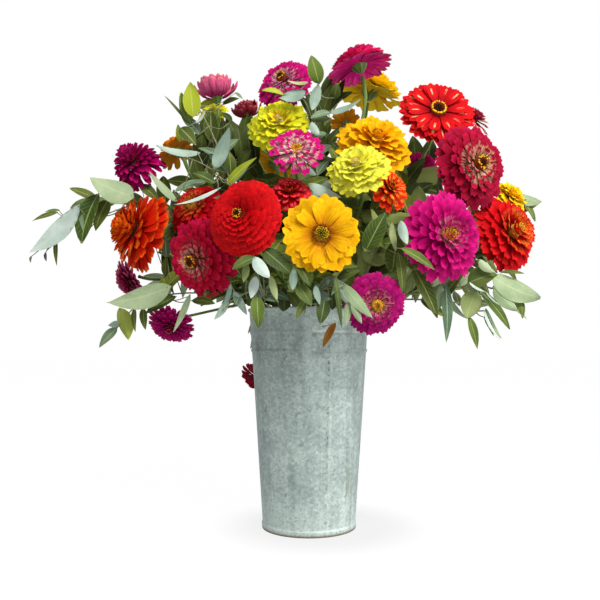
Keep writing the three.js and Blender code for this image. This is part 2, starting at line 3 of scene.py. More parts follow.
import bpy
import numpy as np
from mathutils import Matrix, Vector


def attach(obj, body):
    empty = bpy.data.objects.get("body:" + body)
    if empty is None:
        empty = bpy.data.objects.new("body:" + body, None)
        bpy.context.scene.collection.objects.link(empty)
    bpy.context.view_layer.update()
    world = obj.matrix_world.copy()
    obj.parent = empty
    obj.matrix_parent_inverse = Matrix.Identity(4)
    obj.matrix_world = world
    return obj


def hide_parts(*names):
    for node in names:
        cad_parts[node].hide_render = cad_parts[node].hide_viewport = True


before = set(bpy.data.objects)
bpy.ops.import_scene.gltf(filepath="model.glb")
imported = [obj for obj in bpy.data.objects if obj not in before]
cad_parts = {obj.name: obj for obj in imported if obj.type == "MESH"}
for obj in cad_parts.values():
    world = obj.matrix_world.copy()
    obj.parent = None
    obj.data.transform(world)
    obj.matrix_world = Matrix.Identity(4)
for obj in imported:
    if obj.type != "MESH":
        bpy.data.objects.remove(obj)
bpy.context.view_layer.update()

# The bucket: hot-dipped galvanized sheet steel. Its flared body is rolled from one sheet and locked
# in a standing seam, with two rolled beads under the mouth, a wired rim, and a bottom crimped on.
MM = 0.001
BUCKET_HEIGHT = 335 * MM
BASE_RADIUS = 71 * MM
MOUTH_RADIUS = 92 * MM
WALL = 1 * MM
FLOOR = 1.5 * MM
BEADS = (271 * MM, 298 * MM)
BEAD_PROUD = 1.6 * MM
BEAD_SPREAD = 2.4 * MM
RIM_WIRE = 2.3 * MM
CRIMP_HEIGHT = 8 * MM
CRIMP_PROUD = 1.1 * MM
CRIMPS = 72
CRIMP_DEPTH = 0.25 * MM
SHEET_WAVE = 0.22 * MM
SEAM_TURN = math.radians(-71)
SEAM_HALF = 4.2 * MM
SEAM_PROUD = 0.7 * MM
SEAM_EDGE = 0.8 * MM
SEAM_TOP = 264 * MM
BUCKET_SIDES = 288


class Value:
    """A node's output that reckons like a number: every operation adds a math node."""

    def __init__(self, finish, socket):
        self.finish = finish
        self.socket = socket

    def __add__(self, other):
        return self.finish.maths("ADD", self, other)

    def __sub__(self, other):
        return self.finish.maths("SUBTRACT", self, other)

    def __rsub__(self, other):
        return self.finish.maths("SUBTRACT", other, self)

    def __mul__(self, other):
        return self.finish.maths("MULTIPLY", self, other)

    def __abs__(self):
        return self.finish.maths("ABSOLUTE", self)

    __radd__ = __add__
    __rmul__ = __mul__


class Finish:
    """A node material. Its methods add nodes and give their outputs as Values; feed, relief and done
    go to the sockets that are there."""

    def __init__(self, name, **fixed):
        self.material = bpy.data.materials.new(name)
        self.material.use_nodes = True
        self.tree = self.material.node_tree
        self.shader = self.tree.nodes["Principled BSDF"]
        for socket, value in fixed.items():
            self.shader.inputs[socket.replace("_", " ")].default_value = value

    def add(self, kind, inputs, **settings):
        node = self.tree.nodes.new("ShaderNode" + kind)
        for key, value in settings.items():
            setattr(node, key, value)
        for key, value in inputs.items():
            self.feed(node.inputs[key], value)
        return node

    def feed(self, socket, value):
        if isinstance(value, Value):
            self.tree.links.new(value.socket, socket)
        else:
            socket.default_value = value

    def out(self, node, key=0):
        return Value(self, node.outputs[key])

    def place(self):
        return self.out(self.add("TexCoord", {}), "Object")

    def marks(self, name):
        return self.parts(self.out(self.add("Attribute", {}, attribute_name=name), "Vector"))

    def parts(self, vector):
        return [Value(self, socket) for socket in self.add("SeparateXYZ", {0: vector}).outputs]

    def vector(self, x, y, z):
        return self.out(self.add("CombineXYZ", {0: x, 1: y, 2: z}))

    def stretched(self, vector, scale):
        return self.out(self.add("Mapping", {"Vector": vector, "Scale": scale}))

    def maths(self, kind, first, second=0.0):
        return self.out(self.add("Math", {0: first, 1: second}, operation=kind))

    def step(self, value, low, high):
        inputs = {"Value": value, "From Min": low, "From Max": high}
        return self.out(self.add("MapRange", inputs, interpolation_type="SMOOTHSTEP"))

    def near(self, value, middle, far, close):
        return self.step(abs(value - middle), far, close)

    def noise(self, vector, scale, detail):
        inputs = {"Vector": vector, "Scale": scale, "Detail": detail}
        return self.out(self.add("TexNoise", inputs), "Fac")

    def ramp(self, value, stops):
        node = self.add("ValToRGB", {0: value})
        band = node.color_ramp.elements
        while len(band) < len(stops):
            band.new(0.5)
        for stop, (at, colour) in zip(band, stops):
            stop.position = at
            stop.color = (*colour, 1)
        return self.out(node, "Color")

    def mix(self, amount, first, second, kind="MIX"):
        node = self.add("Mix", {0: amount}, data_type="RGBA", blend_type=kind)
        for number, value in ((6, first), (7, second)):
            self.feed(node.inputs[number], value if isinstance(value, Value) else (*value, 1))
        return self.out(node, 2)

    def relief(self, height, distance, strength):
        inputs = {"Height": height, "Distance": distance, "Strength": strength}
        self.feed(self.shader.inputs["Normal"], self.out(self.add("Bump", inputs)))

    def done(self, colour, roughness=None):
        self.feed(self.shader.inputs["Base Color"], colour)
        if roughness is not None:
            self.feed(self.shader.inputs["Roughness"], roughness)
        return self.material


def keep(name, parts, slot, node, finishes):
    """Makes one piece of parts (points, lists of faces, number of its finish, marks) and lets it ride.
    The six marks of a point go to two attributes: blade holds along, across and side, growth holds the
    rest. An edge whose two points are both on a rim, side 0, stays sharp."""
    points = np.concatenate([part[0] for part in parts])
    marks = np.concatenate([part[3] for part in parts])
    faces, kinds, start = [], [], 0
    for at, lists, kind, _ in parts:
        for corners in lists:
            faces += (corners + start).tolist()
            kinds += [kind] * len(corners)
        start += len(at)
    mesh = bpy.data.meshes.new(name)
    mesh.from_pydata(points, [], faces)
    for finish in finishes:
        mesh.materials.append(finish)
    mesh.polygons.foreach_set("material_index", kinds)
    mesh.polygons.foreach_set("use_smooth", [True] * len(faces))
    for title, columns in (("blade", marks[:, :3]), ("growth", marks[:, 3:])):
        layer = mesh.attributes.new(title, "FLOAT_VECTOR", "POINT")
        layer.data.foreach_set("vector", columns.astype(np.float32).ravel())
    ends = np.empty(2 * len(mesh.edges), np.int32)
    mesh.edges.foreach_get("vertices", ends)
    rim = (marks[:, 2] == 0)[ends].reshape(-1, 2).all(1)
    mesh.attributes.new("sharp_edge", "BOOLEAN", "EDGE").data.foreach_set("value", rim)
    mesh.update()
    piece = bpy.data.objects.new(name, mesh)
    bpy.context.scene.collection.objects.link(piece)
    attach(piece, "root")
    if node:
        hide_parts(node)


def wall_radius(height):
    """The cone's radius at a height: it grows in a straight line from the base to the mouth."""
    return BASE_RADIUS + (MOUTH_RADIUS - BASE_RADIUS) * height / BUCKET_HEIGHT


def bucket_profile():
    """Radius and height along the skin, from the middle of the bottom up the outside, round the rim
    wire, and down the inside. A bead adds proud * exp(-(distance / spread)^2) to the cone."""
    height = np.concatenate([[0, 1.2 * MM, 3 * MM, 5 * MM, 7 * MM, 8 * MM, 8.6 * MM],
                             np.linspace(12 * MM, 260 * MM, 40),
                             np.linspace(262 * MM, 308 * MM, 47), [314 * MM, 322 * MM, 329 * MM]])
    radius = wall_radius(height)
    radius += (height <= CRIMP_HEIGHT) * CRIMP_PROUD
    for bead in BEADS:
        radius += BEAD_PROUD * np.exp(-(((height - bead) / BEAD_SPREAD) ** 2))
    angle = np.linspace(-0.35 * math.pi, 1.1 * math.pi, 13)
    rim_radius = MOUTH_RADIUS + RIM_WIRE * np.cos(angle)
    rim_height = BUCKET_HEIGHT - RIM_WIRE + RIM_WIRE * np.sin(angle)
    inside = np.linspace(326 * MM, FLOOR, 30)
    radius = np.concatenate([[0.5 * BASE_RADIUS], radius, rim_radius, wall_radius(inside) - WALL,
                             [0.5 * BASE_RADIUS]])
    height = np.concatenate([[0], height, rim_height, inside, [FLOOR]])
    return radius, height


def rolled(rows, sides):
    """The faces of a closed skin of rings with sides points each: quads between the rings, and a fan
    of triangles to one point past each end. The two end points come after all the rings."""
    row, column = np.meshgrid(np.arange(rows - 1), np.arange(sides), indexing="ij")
    here, beside = row * sides + column, row * sides + (column + 1) % sides
    quads = np.stack([here, beside, beside + sides, here + sides], -1).reshape(-1, 4)
    ring = np.arange(sides)
    after = (ring + 1) % sides
    last = (rows - 1) * sides
    low = np.stack([np.full(sides, rows * sides), after, ring], -1)
    high = np.stack([np.full(sides, rows * sides + 1), last + ring, last + after], -1)
    return [quads, low, high]


def turned_skin(radius, height, sides, swell):
    """A closed skin turned round Z: the point at angle a of profile point (r, z) is (r' cos a,
    r' sin a, z), r' = r + swell(a, z), and a single point on the axis closes each end."""
    angle = np.arange(sides) * 2 * math.pi / sides
    turn, level = np.meshgrid(angle, height)
    out = radius[:, None] + swell(turn, level)
    grid = np.stack([out * np.cos(turn), out * np.sin(turn), level], -1).reshape(-1, 3)
    ends = np.array([[0, 0, height[0]], [0, 0, height[-1]]])
    marks = np.zeros((len(grid) + 2, 6))
    marks[:, 2] = 1
    marks[:-2, 0] = level.ravel()
    marks[:-2, 1] = turn.ravel()
    return np.concatenate([grid, ends]), rolled(len(radius), sides), 0, marks


def sheet_swell(turn, level):
    """What the sheet adds to the cone: the standing seam, the crimps of the bottom's edge and the
    slight waves of thin sheet, a sum of long sines."""
    off = np.abs((turn - SEAM_TURN + math.pi) % (2 * math.pi) - math.pi) * wall_radius(level)
    seam = SEAM_PROUD * np.clip((SEAM_HALF - off) / SEAM_EDGE, 0, 1) * (level < SEAM_TOP) * (level > 0)
    crimp = CRIMP_DEPTH * np.cos(CRIMPS * turn) * (level > 0) * (level < CRIMP_HEIGHT)
    middle = np.sin(math.pi * np.clip(level / BUCKET_HEIGHT, 0, 1))
    waves = np.sin(3 * turn + 9 * level) + 0.6 * np.sin(7 * turn - 23 * level)
    return seam + crimp + SHEET_WAVE * waves * middle


def zinc_finish():
    """Dull spangled zinc: small crystals and blotches in grey-green, pale rain streaks, dark solder marks
    along the seam, brown rust at the crimped foot and a dark stain on the right. Light and shade are
    painted in too: painted light on the left, at the foot and towards the mouth, painted shade at the
    upper left and a little on the right, a pale and a dark painted reflection in bands up the right
    side, and a painted highlight along the upper bead."""
    zinc = Finish("galvanized_zinc", Metallic=0.2, Specular_IOR_Level=0.4)
    at = zinc.place()
    x, y, height = zinc.parts(at)
    turn = zinc.maths("ARCTAN2", y, x)
    off_seam = abs(turn - SEAM_TURN)
    spangle = zinc.parts(zinc.out(zinc.add("TexVoronoi", {"Vector": at, "Scale": 260}), "Color"))[0]
    blotch = zinc.noise(at, 34, 5)
    streak = zinc.noise(zinc.stretched(at, (75, 75, 4)), 1.0, 3)
    # Painted light: the left is lightened, most towards the foot.
    painted_left_light = zinc.step(x, 0.02, -0.07) * zinc.step(height, 0.28, 0.08)
    # Painted shade: the upper left edge under the mouth is darkened, where the foliage shades it.
    shaded = zinc.step(x, -0.05, -0.075) * zinc.step(height, 0.25, 0.27)
    # Painted reflections: a pale band, and higher up a dark band, run up the right side.
    painted_pale_reflection = zinc.near(x, 0.049, 0.006, 0.003)
    painted_dark_reflection = zinc.near(x, 0.061, 0.008, 0.004) * zinc.step(height, 0.19, 0.22)
    # Painted light and shade in the tone: a little darker on the right, lighter on the left, lighter over the
    # top few centimetres under the bouquet's shade, and lighter at the foot, as the white floor would light
    # it.
    tone = (0.22 * spangle - 0.08 + 0.25 * zinc.noise(at, 110, 3) + 0.5 * blotch + 0.55 * streak
            - 0.03 * zinc.step(x, 0.03, 0.08) + 0.04 * zinc.step(x, -0.02, -0.08) + 0.10 * painted_left_light
            - 0.12 * shaded + 0.08 * painted_pale_reflection - 0.11 * painted_dark_reflection
            + 0.14 * zinc.step(height, 0.285, 0.325) + 0.24 * zinc.step(height, 0.09, 0.0))
    colour = zinc.ramp(0.75 * tone, [
        (0.28, (0.26, 0.31, 0.30)), (0.5, (0.44, 0.53, 0.50)), (0.74, (0.68, 0.80, 0.74)),
    ])
    grain = zinc.step(zinc.noise(at, 420, 3), 0.54, 0.72)
    spots = zinc.step(zinc.noise(at, 70, 1), 0.72, 0.76)
    # A painted highlight along the top of the upper bead.
    painted_bead_highlight = zinc.near(height, 0.2995, 0.0025, 0.001)
    solder = zinc.step(off_seam, 0.034, 0.012) * zinc.step(
        zinc.noise(zinc.vector(off_seam, 0, height), 120, 3), 0.52, 0.64)
    dots = (zinc.step(zinc.maths("SINE", 700 * height), 0.3, 0.8) * zinc.step(off_seam, 0.02, 0.01)
            * zinc.step(zinc.noise(at, 60, 2), 0.45, 0.5) * zinc.near(height, 0.198, 0.068, 0.064))
    rust = zinc.step(height, 0.005, 0.001)
    stain = zinc.near(turn, -0.709, 0.06, 0.045) * zinc.near(height, 0.078, 0.022, 0.017)
    for amount, paint in (
            (0.65 * grain, (0.20, 0.24, 0.21)), (0.5 * spots, (0.16, 0.18, 0.15)),
            (0.3 * painted_bead_highlight, (0.80, 0.88, 0.84)), (solder, (0.15, 0.16, 0.13)),
            (0.8 * dots, (0.12, 0.14, 0.11)), (0.85 * rust, (0.20, 0.12, 0.05)),
            (0.55 * stain, (0.30, 0.33, 0.25))):
        colour = zinc.mix(amount, colour, paint)
    zinc.relief(0.3 * spangle + blotch, 0.0006, 0.5)
    return zinc.done(colour, 0.42 + 0.3 * blotch)


radius, height = bucket_profile()
skin = turned_skin(radius, height, BUCKET_SIDES, sheet_swell)
keep("bucket", [skin], "galvanized_steel", "vase", [zinc_finish()])

# The water: what the cut stems drink, still and faintly green, up to about a quarter of the bucket.
# Its edge climbs the zinc a little, as water does.
WATER_LEVEL = 90 * MM
WATER_GAP = 0.4 * MM
WATER_SIDES = 64


def water_finish():
    """Clear water, tinted by sap, with faint slow ripples."""
    water = Finish("stem_water", Roughness=0.04, IOR=1.33, Transmission_Weight=0.7)
    slow = water.noise(water.place(), 30, 2)
    water.relief(slow, 0.001, 0.3)
    return water.done(water.ramp(slow, [(0.3, (0.50, 0.60, 0.46)), (0.7, (0.62, 0.72, 0.60))]))


up = np.linspace(FLOOR + WATER_GAP, WATER_LEVEL, 12)
radius = np.concatenate([[0.5 * BASE_RADIUS], wall_radius(up) - WALL - WATER_GAP,
                         [0.97 * BASE_RADIUS, 0.9 * BASE_RADIUS, 0.5 * BASE_RADIUS]])
height = np.concatenate([up[:1], up, WATER_LEVEL - np.array([1.2, 1.6, 1.6]) * MM])
skin = turned_skin(radius, height, WATER_SIDES, lambda turn, level: 0 * turn)
keep("standing_water", [skin], "water", "water", [water_finish()])

# The flower stems: green, finely ribbed zinnia stems. They stand on the bucket's floor, lean together
# at the neck and spread from the mouth; side shoots leave the main stems.
NECK_HEIGHT = 210
NECK_PITCH = 3.2
FOOT_RADIUS = 42
FOOT_HEIGHT = 2.5
STEM_RADIUS = 2.5
SHOOT_RADIUS = 2.0
STEM_SIDES = 9
CALYX_DEPTH = 9
APPROACH_BACK = 20
APPROACH_DOWN = 14
MOUTH_DROP = 5
# Stations on each stretch of a main stem, and on a shoot before and in the calyx.
MAIN_STEPS = [8, 6, 14, 2]
SHOOT_STEPS = [9, 2]
GAP = 0.4
# How deep the head's receptacle lies under its middle, over the bloom's radius.
BACK_DEPTH = {"double": 0.3, "open": 0.28, "small": 0.32, "pompon": 0.6, "half": 0.5}
# Every bloom: name, colour, form, middle, diameter and the way it faces, in millimetres, and its stem.
# A main stem passes the mouth at the given x and y; a shoot leaves a main stem at the given height.
BLOOMS = [
    ("crown_crimson", "purple", "double", (77, 20, 726), 102, (-0.27, 0.06, 0.96), (12, 2)),
    ("crown_gold", "gold", "double", (106, 124, 721), 116, (0.2, 0.03, 0.98), ("crown_crimson", 500)),
    ("top_magenta", "magenta", "double", (-40, 0, 689), 90, (-0.36, -0.82, 0.4), (-8, 12)),
    ("burgundy_bud", "burgundy", "half", (-98, 25, 648), 54, (-0.2, -0.4, 0.9), ("top_magenta", 450)),
    ("mauve_half_open", "mauve", "half", (-145, 10, 676), 72, (-0.1, -0.1, 1), (-28, 12)),
    ("lime_left", "lime", "double", (-160, 76, 664), 52, (-0.3, -0.75, 0.6), ("mauve_half_open", 470)),
    ("lime_large", "lime", "double", (-44, -70, 603), 90, (-0.1, -0.88, 0.45), (-8, -18)),
    ("striped_magenta", "magenta", "open", (-17, -150, 542), 77, (0, -0.9, 0.4), ("lime_large", 430)),
    ("small_scarlet", "scarlet", "small", (-27, -136, 488), 62, (-0.05, -0.8, 0.6), ("lime_large", 370)),
    ("orange_left", "orange", "small", (-212, 35, 592), 74, (-0.6, 0.2, 0.75), (-50, 8)),
    ("purple_pompon", "purple", "pompon", (-271, -13, 563), 87, (-0.55, -0.5, 0.65), ("orange_left", 440)),
    ("flame_left", "flame", "double", (-260, -60, 450), 108, (-0.82, -0.5, 0.25), (-63, -14)),
    ("purple_left_low", "purple", "small", (-277, -13, 375), 65, (-0.7, -0.45, -0.5), ("flame_left", 380)),
    ("purple_hanging", "purple", "small", (-201, -70, 306), 66, (-0.15, -0.7, -0.7), ("flame_left", 340)),
    ("dark_red_left", "crimson", "double", (-172, -45, 485), 84, (-0.4, -0.8, 0.4), (-44, -24)),
    ("crimson_left", "crimson", "double", (-154, -130, 396), 107, (-0.5, -0.82, -0.26), (-38, -44)),
    ("scarlet_front", "scarlet", "double", (-87, -190, 446), 101, (-0.33, -0.93, 0.12), (-18, -56)),
    ("gold_front", "gold", "open", (16, -200, 421), 101, (0.05, -1, 0.05), (4, -58)),
    ("gold_top", "gold", "double", (96, -80, 574), 110, (0.15, -0.76, 0.63), (18, -20)),
    ("pale_lime", "lime", "double", (64, -150, 520), 84, (-0.25, -0.8, 0.55), ("gold_top", 400)),
    ("small_flame", "flame", "small", (113, -106, 500), 66, (0.45, -0.8, 0.3), ("gold_top", 370)),
    ("scarlet_striped", "scarlet", "open", (192, -40, 629), 114, (0.05, -0.93, 0.38), (36, -4)),
    ("purple_right", "purple", "small", (261, 20, 637), 64, (0.6, -0.35, 0.7), ("scarlet_striped", 470)),
    ("magenta_inner", "magenta", "small", (180, 44, 572), 56, (0, -0.8, 0.6), ("scarlet_striped", 420)),
    ("crimson_right", "crimson", "double", (238, -90, 536), 115, (0.42, -0.9, 0.03), (46, -22)),
    ("yellow_right", "gold", "small", (317, 10, 512), 64, (0.5, -0.6, 0.6), ("crimson_right", 400)),
    ("magenta_right", "magenta", "double", (184, -150, 427), 118, (0.38, -0.92, 0.06), (36, -46)),
    ("scarlet_right", "scarlet", "double", (298, -60, 446), 110, (0.58, -0.78, 0.2), (62, -12)),
    ("magenta_low", "magenta", "double", (90, -150, 334), 82, (0.15, -0.95, -0.2), ("gold_front", 340)),
    ("back_magenta", "magenta", "double", (-145, 165, 505), 96, (-0.5, 0.75, 0.4), (-26, 44)),
    ("back_purple", "purple", "small", (-202, 118, 432), 72, (-0.8, 0.5, 0.2), ("back_magenta", 380)),
    ("crimson_hanging", "crimson", "small", (-88, 84, 222), 60, (-0.5, 0.5, -0.7),
     ("back_magenta", 350, (-64, 76, 366), (-82, 88, 320))),
    ("back_gold", "gold", "double", (-60, 145, 600), 94, (-0.2, 0.8, 0.55), (-6, 34)),
    ("back_scarlet", "scarlet", "double", (0, 205, 475), 100, (0, 0.98, 0.15), ("back_gold", 360)),
    ("back_lime", "lime", "small", (5, 190, 362), 76, (0.1, 0.95, -0.2), (12, 60)),
    ("back_crimson", "crimson", "double", (145, 165, 505), 98, (0.5, 0.75, 0.4), (26, 40)),
    ("back_orange", "orange", "small", (66, 132, 662), 58, (0.25, 0.8, 0.5), ("back_crimson", 420)),
    ("back_flame", "flame", "small", (235, 120, 440), 80, (0.8, 0.55, 0.2), (50, 30)),
]


def unit(vectors):
    """The vectors over their lengths."""
    vectors = np.asarray(vectors, float)
    return vectors / np.linalg.norm(vectors, axis=-1, keepdims=True)


def bearings(angle, across, third):
    """The directions cos(angle) across + sin(angle) third."""
    return np.cos(angle)[:, None] * across + np.sin(angle)[:, None] * third


def smooth_way(points, steps):
    """Stations on a smooth way through the points. Each stretch b to c is a cubic, and the slope at b
    is (b-a)/p - (c-a)/(p+q) + (c-b)/q with p and q the square roots of the two distances beside b;
    the slope at c is made alike, and past each end the line is mirrored."""
    points = np.asarray(points, float)
    padded = np.vstack([2 * points[0] - points[1], points, 2 * points[-1] - points[-2]])
    line = [points[:1]]
    for number, count in enumerate(steps):
        a, b, c, d = padded[number:number + 4]
        p, q, r = (max(np.linalg.norm(y - x), 1e-4) ** 0.5 for x, y in ((a, b), (b, c), (c, d)))
        leave = q * ((b - a) / p - (c - a) / (p + q) + (c - b) / q)
        arrive = q * ((c - b) / q - (d - b) / (q + r) + (d - c) / r)
        t = (np.arange(1, count + 1) / count)[:, None]
        line.append(b + leave * t + (3 * (c - b) - 2 * leave - arrive) * t ** 2
                    + (2 * (b - c) + leave + arrive) * t ** 3)
    return np.vstack(line)


def tube(way, radius, sides, kind, chance=0.5):
    """A closed round tube: at each station a ring of points centre + r (cos a, sin a) in the plane
    across the way, carried on without twist, and a point past each end closes it."""
    ahead = unit(np.gradient(way, axis=0))
    across = [np.array([1, 0.2, 0.1])]
    for heading in ahead:
        across.append(unit(across[-1] - across[-1] @ heading * heading))
    across = np.array(across[1:])
    third = np.cross(ahead, across)
    angle = np.arange(sides) * 2 * math.pi / sides
    rings = way[:, None] + radius[:, None, None] * bearings(angle, across[:, None], third[:, None])
    ends = np.stack([way[0] - 0.3 * radius[0] * ahead[0], way[-1] + 0.3 * radius[-1] * ahead[-1]])
    count = len(way)
    marks = np.zeros((count * sides + 2, 6))
    marks[:-2, 0] = np.repeat(np.linspace(0, 1, count), sides)
    marks[:-2, 1] = np.tile(angle, count)
    marks[:, 2] = 1
    marks[:, 3] = chance
    return np.vstack([rings.reshape(-1, 3), ends]), rolled(count, sides), kind, marks


def neck_points():
    """Where each main stem passes the neck: side by side in a ring, in the order of their bearings."""
    mains = sorted((math.atan2(rule[1], rule[0]), name)
                   for name, *_, rule in BLOOMS if not isinstance(rule[0], str))
    first, count = mains[0][0], len(mains)
    radius = NECK_PITCH * count / (2 * math.pi)
    turns = [first + 2 * math.pi * k / count for k in range(count)]
    return {name: (math.cos(a), math.sin(a), radius) for (_, name), a in zip(mains, turns)}


def stem_ways():
    """The way of every stem in millimetres: a main stem from its foot over the neck and the mouth, a
    shoot from its main stem, and each up to just under its bloom, whose axis it meets squarely."""
    necks = neck_points()
    ways = {}
    for name, _, form, middle, diameter, facing, rule in BLOOMS:
        axis = unit(facing)
        seat = np.array(middle) - axis * (BACK_DEPTH[form] * diameter / 2 + GAP)
        neck = seat - axis * CALYX_DEPTH
        approach = neck - axis * APPROACH_BACK - np.array([0, 0, APPROACH_DOWN])
        if isinstance(rule[0], str):
            main = ways[rule[0]]
            start = main[np.argmax(main[:, 2] >= rule[1])]
            ways[name] = smooth_way([start, *rule[2:], approach, neck],
                                    [5] * len(rule[2:]) + SHOOT_STEPS)
        else:
            x, y, radius = necks[name]
            low = (FOOT_RADIUS * x, FOOT_RADIUS * y, FOOT_HEIGHT)
            tie = (radius * x, radius * y, NECK_HEIGHT)
            mouth = (*rule, BUCKET_HEIGHT / MM - MOUTH_DROP)
            ways[name] = smooth_way([low, tie, mouth, approach, neck], MAIN_STEPS)
    return ways


def stem_finish():
    """Fresh stem: green with paler ribs along it, a warm flush in places, and a matt bloom."""
    stem = Finish("zinnia_stem", Sheen_Weight=0.25, Specular_IOR_Level=0.35)
    at = stem.place()
    _, turn, _ = stem.marks("blade")
    ribs = stem.maths("SINE", 7 * turn)
    flush = stem.noise(at, 22, 3)
    colour = stem.ramp(flush, [(0.3, (0.06, 0.13, 0.015)), (0.55, (0.13, 0.24, 0.03)),
                               (0.75, (0.20, 0.26, 0.05)), (0.9, (0.22, 0.13, 0.05))])
    colour = stem.mix(stem.step(ribs, 0.3, 1.0), colour, (0.24, 0.36, 0.09))
    stem.relief(ribs + stem.noise(at, 700, 2), 0.0003, 0.6)
    return stem.done(colour, 0.5 + 0.3 * flush)


ways = stem_ways()
green = stem_finish()
parts = []
for number, (name, way) in enumerate(ways.items()):
    thick = SHOOT_RADIUS if isinstance(BLOOMS[number][6][0], str) else STEM_RADIUS
    swell = thick * (1 + 0.35 * np.linspace(0, 1, len(way)) ** 12)
    parts.append(tube(way * MM, swell * MM, STEM_SIDES, 0, number / len(ways)))
keep("zinnia_stems", parts, "stem_green", "flower_stems", [green])

# The blooms: zinnia heads of many petals in whorls round a small eye. The petals are thin, velvety
# and faintly ribbed, paler underneath; older ones lie back and younger ones stand up in the middle.
PETAL_ROWS = 6
PETAL_COLUMNS = 4
PETAL_THICK = 0.45
PETAL_SEED = 100
GOLDEN_TURN = 2.4
EYE_SCALES = 34
LOOSE_FLORETS = 26
RING_FLORETS = 48
# How each form grows, from its outermost whorl to its innermost, over the bloom's radius: petals in
# each whorl, root radius, root height, petal length and half width, the angle at which a petal sets
# out and how far it turns on its way (degrees, down is negative), and how its edges lift. Then for
# all petals alike: how far the edge waves, how deeply notched and how blunt the tip is, the eye's
# radius and height, how late on the way inwards the petals stand up, and how much they differ.
FORM_PARTS = ("whorls", "root", "seat", "length", "half", "rise", "turn", "cup", "wave", "notch",
              "blunt", "eye", "eye_at", "speed", "even")
FORMS = {
    "double": ((22, 20, 18, 16, 13, 10, 7), (0.24, 0.09), (-0.16, 0.15), (0.84, 0.24), (0.15, 0.07), (4, 66),
               (-30, -6), (-0.15, 0.35), 0.06, 0.04, 0.3, 0.13, 0.22, 1.4, 1),
    "dense": ((28, 26, 24, 21, 18, 15, 11, 8), (0.24, 0.10), (-0.16, 0.15), (0.81, 0.20), (0.165, 0.07),
              (5, 52), (-32, -10), (-0.2, 0.1), 0.04, 0.03, 1.0, 0.10, 0.24, 1.3, 0.4),
    "flared": ((20, 19, 18, 16, 13, 10, 7), (0.22, 0.09), (-0.16, 0.18), (0.86, 0.24), (0.135, 0.07),
               (2, 66), (-18, 0), (0.15, 0.5), 0.1, 0.05, 0.6, 0.12, 0.24, 1.3, 1),
    "eyed": ((22, 20, 18, 15, 12, 9), (0.24, 0.15), (-0.16, 0.1), (0.84, 0.30), (0.16, 0.075), (2, 44),
             (-28, -14), (-0.1, 0.25), 0.08, 0.05, 0.5, 0.14, 0.24, 1.3, 1),
    "shaggy": ((24, 22, 20, 18, 15, 12, 8), (0.24, 0.09), (-0.2, 0.18), (0.84, 0.24), (0.16, 0.075),
               (-2, 62), (-24, -4), (0.1, 0.4), 0.14, 0.05, 0.7, 0.12, 0.26, 1.15, 1),
    "wild": ((22, 22, 20, 18, 16, 13, 9), (0.24, 0.09), (-0.26, 0.2), (0.92, 0.30), (0.19, 0.09), (-16, 70),
             (-16, 0), (0.1, 0.4), 0.12, 0.05, 0.8, 0.10, 0.3, 1.0, 1),
    "open": ((13, 12, 9), (0.2, 0.12), (-0.1, 0.04), (0.8, 0.42), (0.15, 0.11), (7, 30), (-14, -12),
             (-0.1, 0.1), 0.08, 0.06, 0.4, 0.17, 0.08, 1.2, 1),
    "rayed": ((14, 13, 10, 7), (0.2, 0.10), (-0.1, 0.06), (0.8, 0.30), (0.16, 0.08), (4, 42), (-10, -10),
              (0.1, 0.3), 0.08, 0.08, 0.8, 0.13, 0.1, 1.2, 1),
    "full": ((15, 14, 12, 10), (0.2, 0.16), (-0.1, 0.02), (0.8, 0.62), (0.19, 0.15), (3, 14), (-12, -10),
             (0.0, 0.1), 0.08, 0.08, 0.8, 0.17, 0.08, 1.2, 0.7),
    "broad": ((11, 10, 9), (0.2, 0.18), (-0.06, -0.01), (0.82, 0.60), (0.28, 0.2), (6, 10), (-12, -10),
              (-0.02, 0.05), 0.16, 0.09, 1.0, 0.2, 0.02, 1.0, 1),
    "ruffled": ((13, 13, 12, 10, 8, 6), (0.22, 0.08), (-0.16, 0.12), (0.84, 0.34), (0.26, 0.13), (0, 54),
                (-20, -6), (0.05, 0.4), 0.26, 0.08, 1.0, 0.1, 0.22, 1.2, 1),
    "small": ((14, 13, 11, 9, 6), (0.24, 0.09), (-0.14, 0.14), (0.8, 0.28), (0.17, 0.09), (4, 70), (-26, -6),
              (0.1, 0.4), 0.08, 0.05, 0.4, 0.14, 0.2, 1.3, 1),
    "pompon": ((14, 18, 21, 21, 19, 16, 12, 8, 5), (0.34, 0.08), (-0.32, 0.28), (0.70, 0.3), (0.13, 0.075),
               (-55, 84), (-8, 6), (0.7, 0.9), 0.05, 0.0, 0.5, 0.05, 0.3, 0.9, 1),
    "half": ((12, 11, 9, 7, 5), (0.26, 0.08), (-0.3, 0.02), (1.02, 0.62), (0.19, 0.1), (8, 78), (84, 20),
             (0.4, 0.7), 0.05, 0.0, 0.3, 0.06, 0.1, 0.7, 1),
}
# Blooms whose petals lie closer, looser or broader than their form's.
GROWN_AS = {name: form for form, names in {
    "dense": "scarlet_front back_scarlet",
    "flared": "magenta_right purple_left_low purple_hanging",
    "broad": "gold_front",
    "wild": "flame_left",
    "shaggy": "scarlet_right",
    "eyed": "crimson_left crimson_right magenta_low top_magenta dark_red_left",
    "ruffled": "gold_top crown_gold yellow_right pale_lime lime_large lime_left",
    "rayed": "striped_magenta",
    "full": "scarlet_striped",
}.items() for name in names.split()}
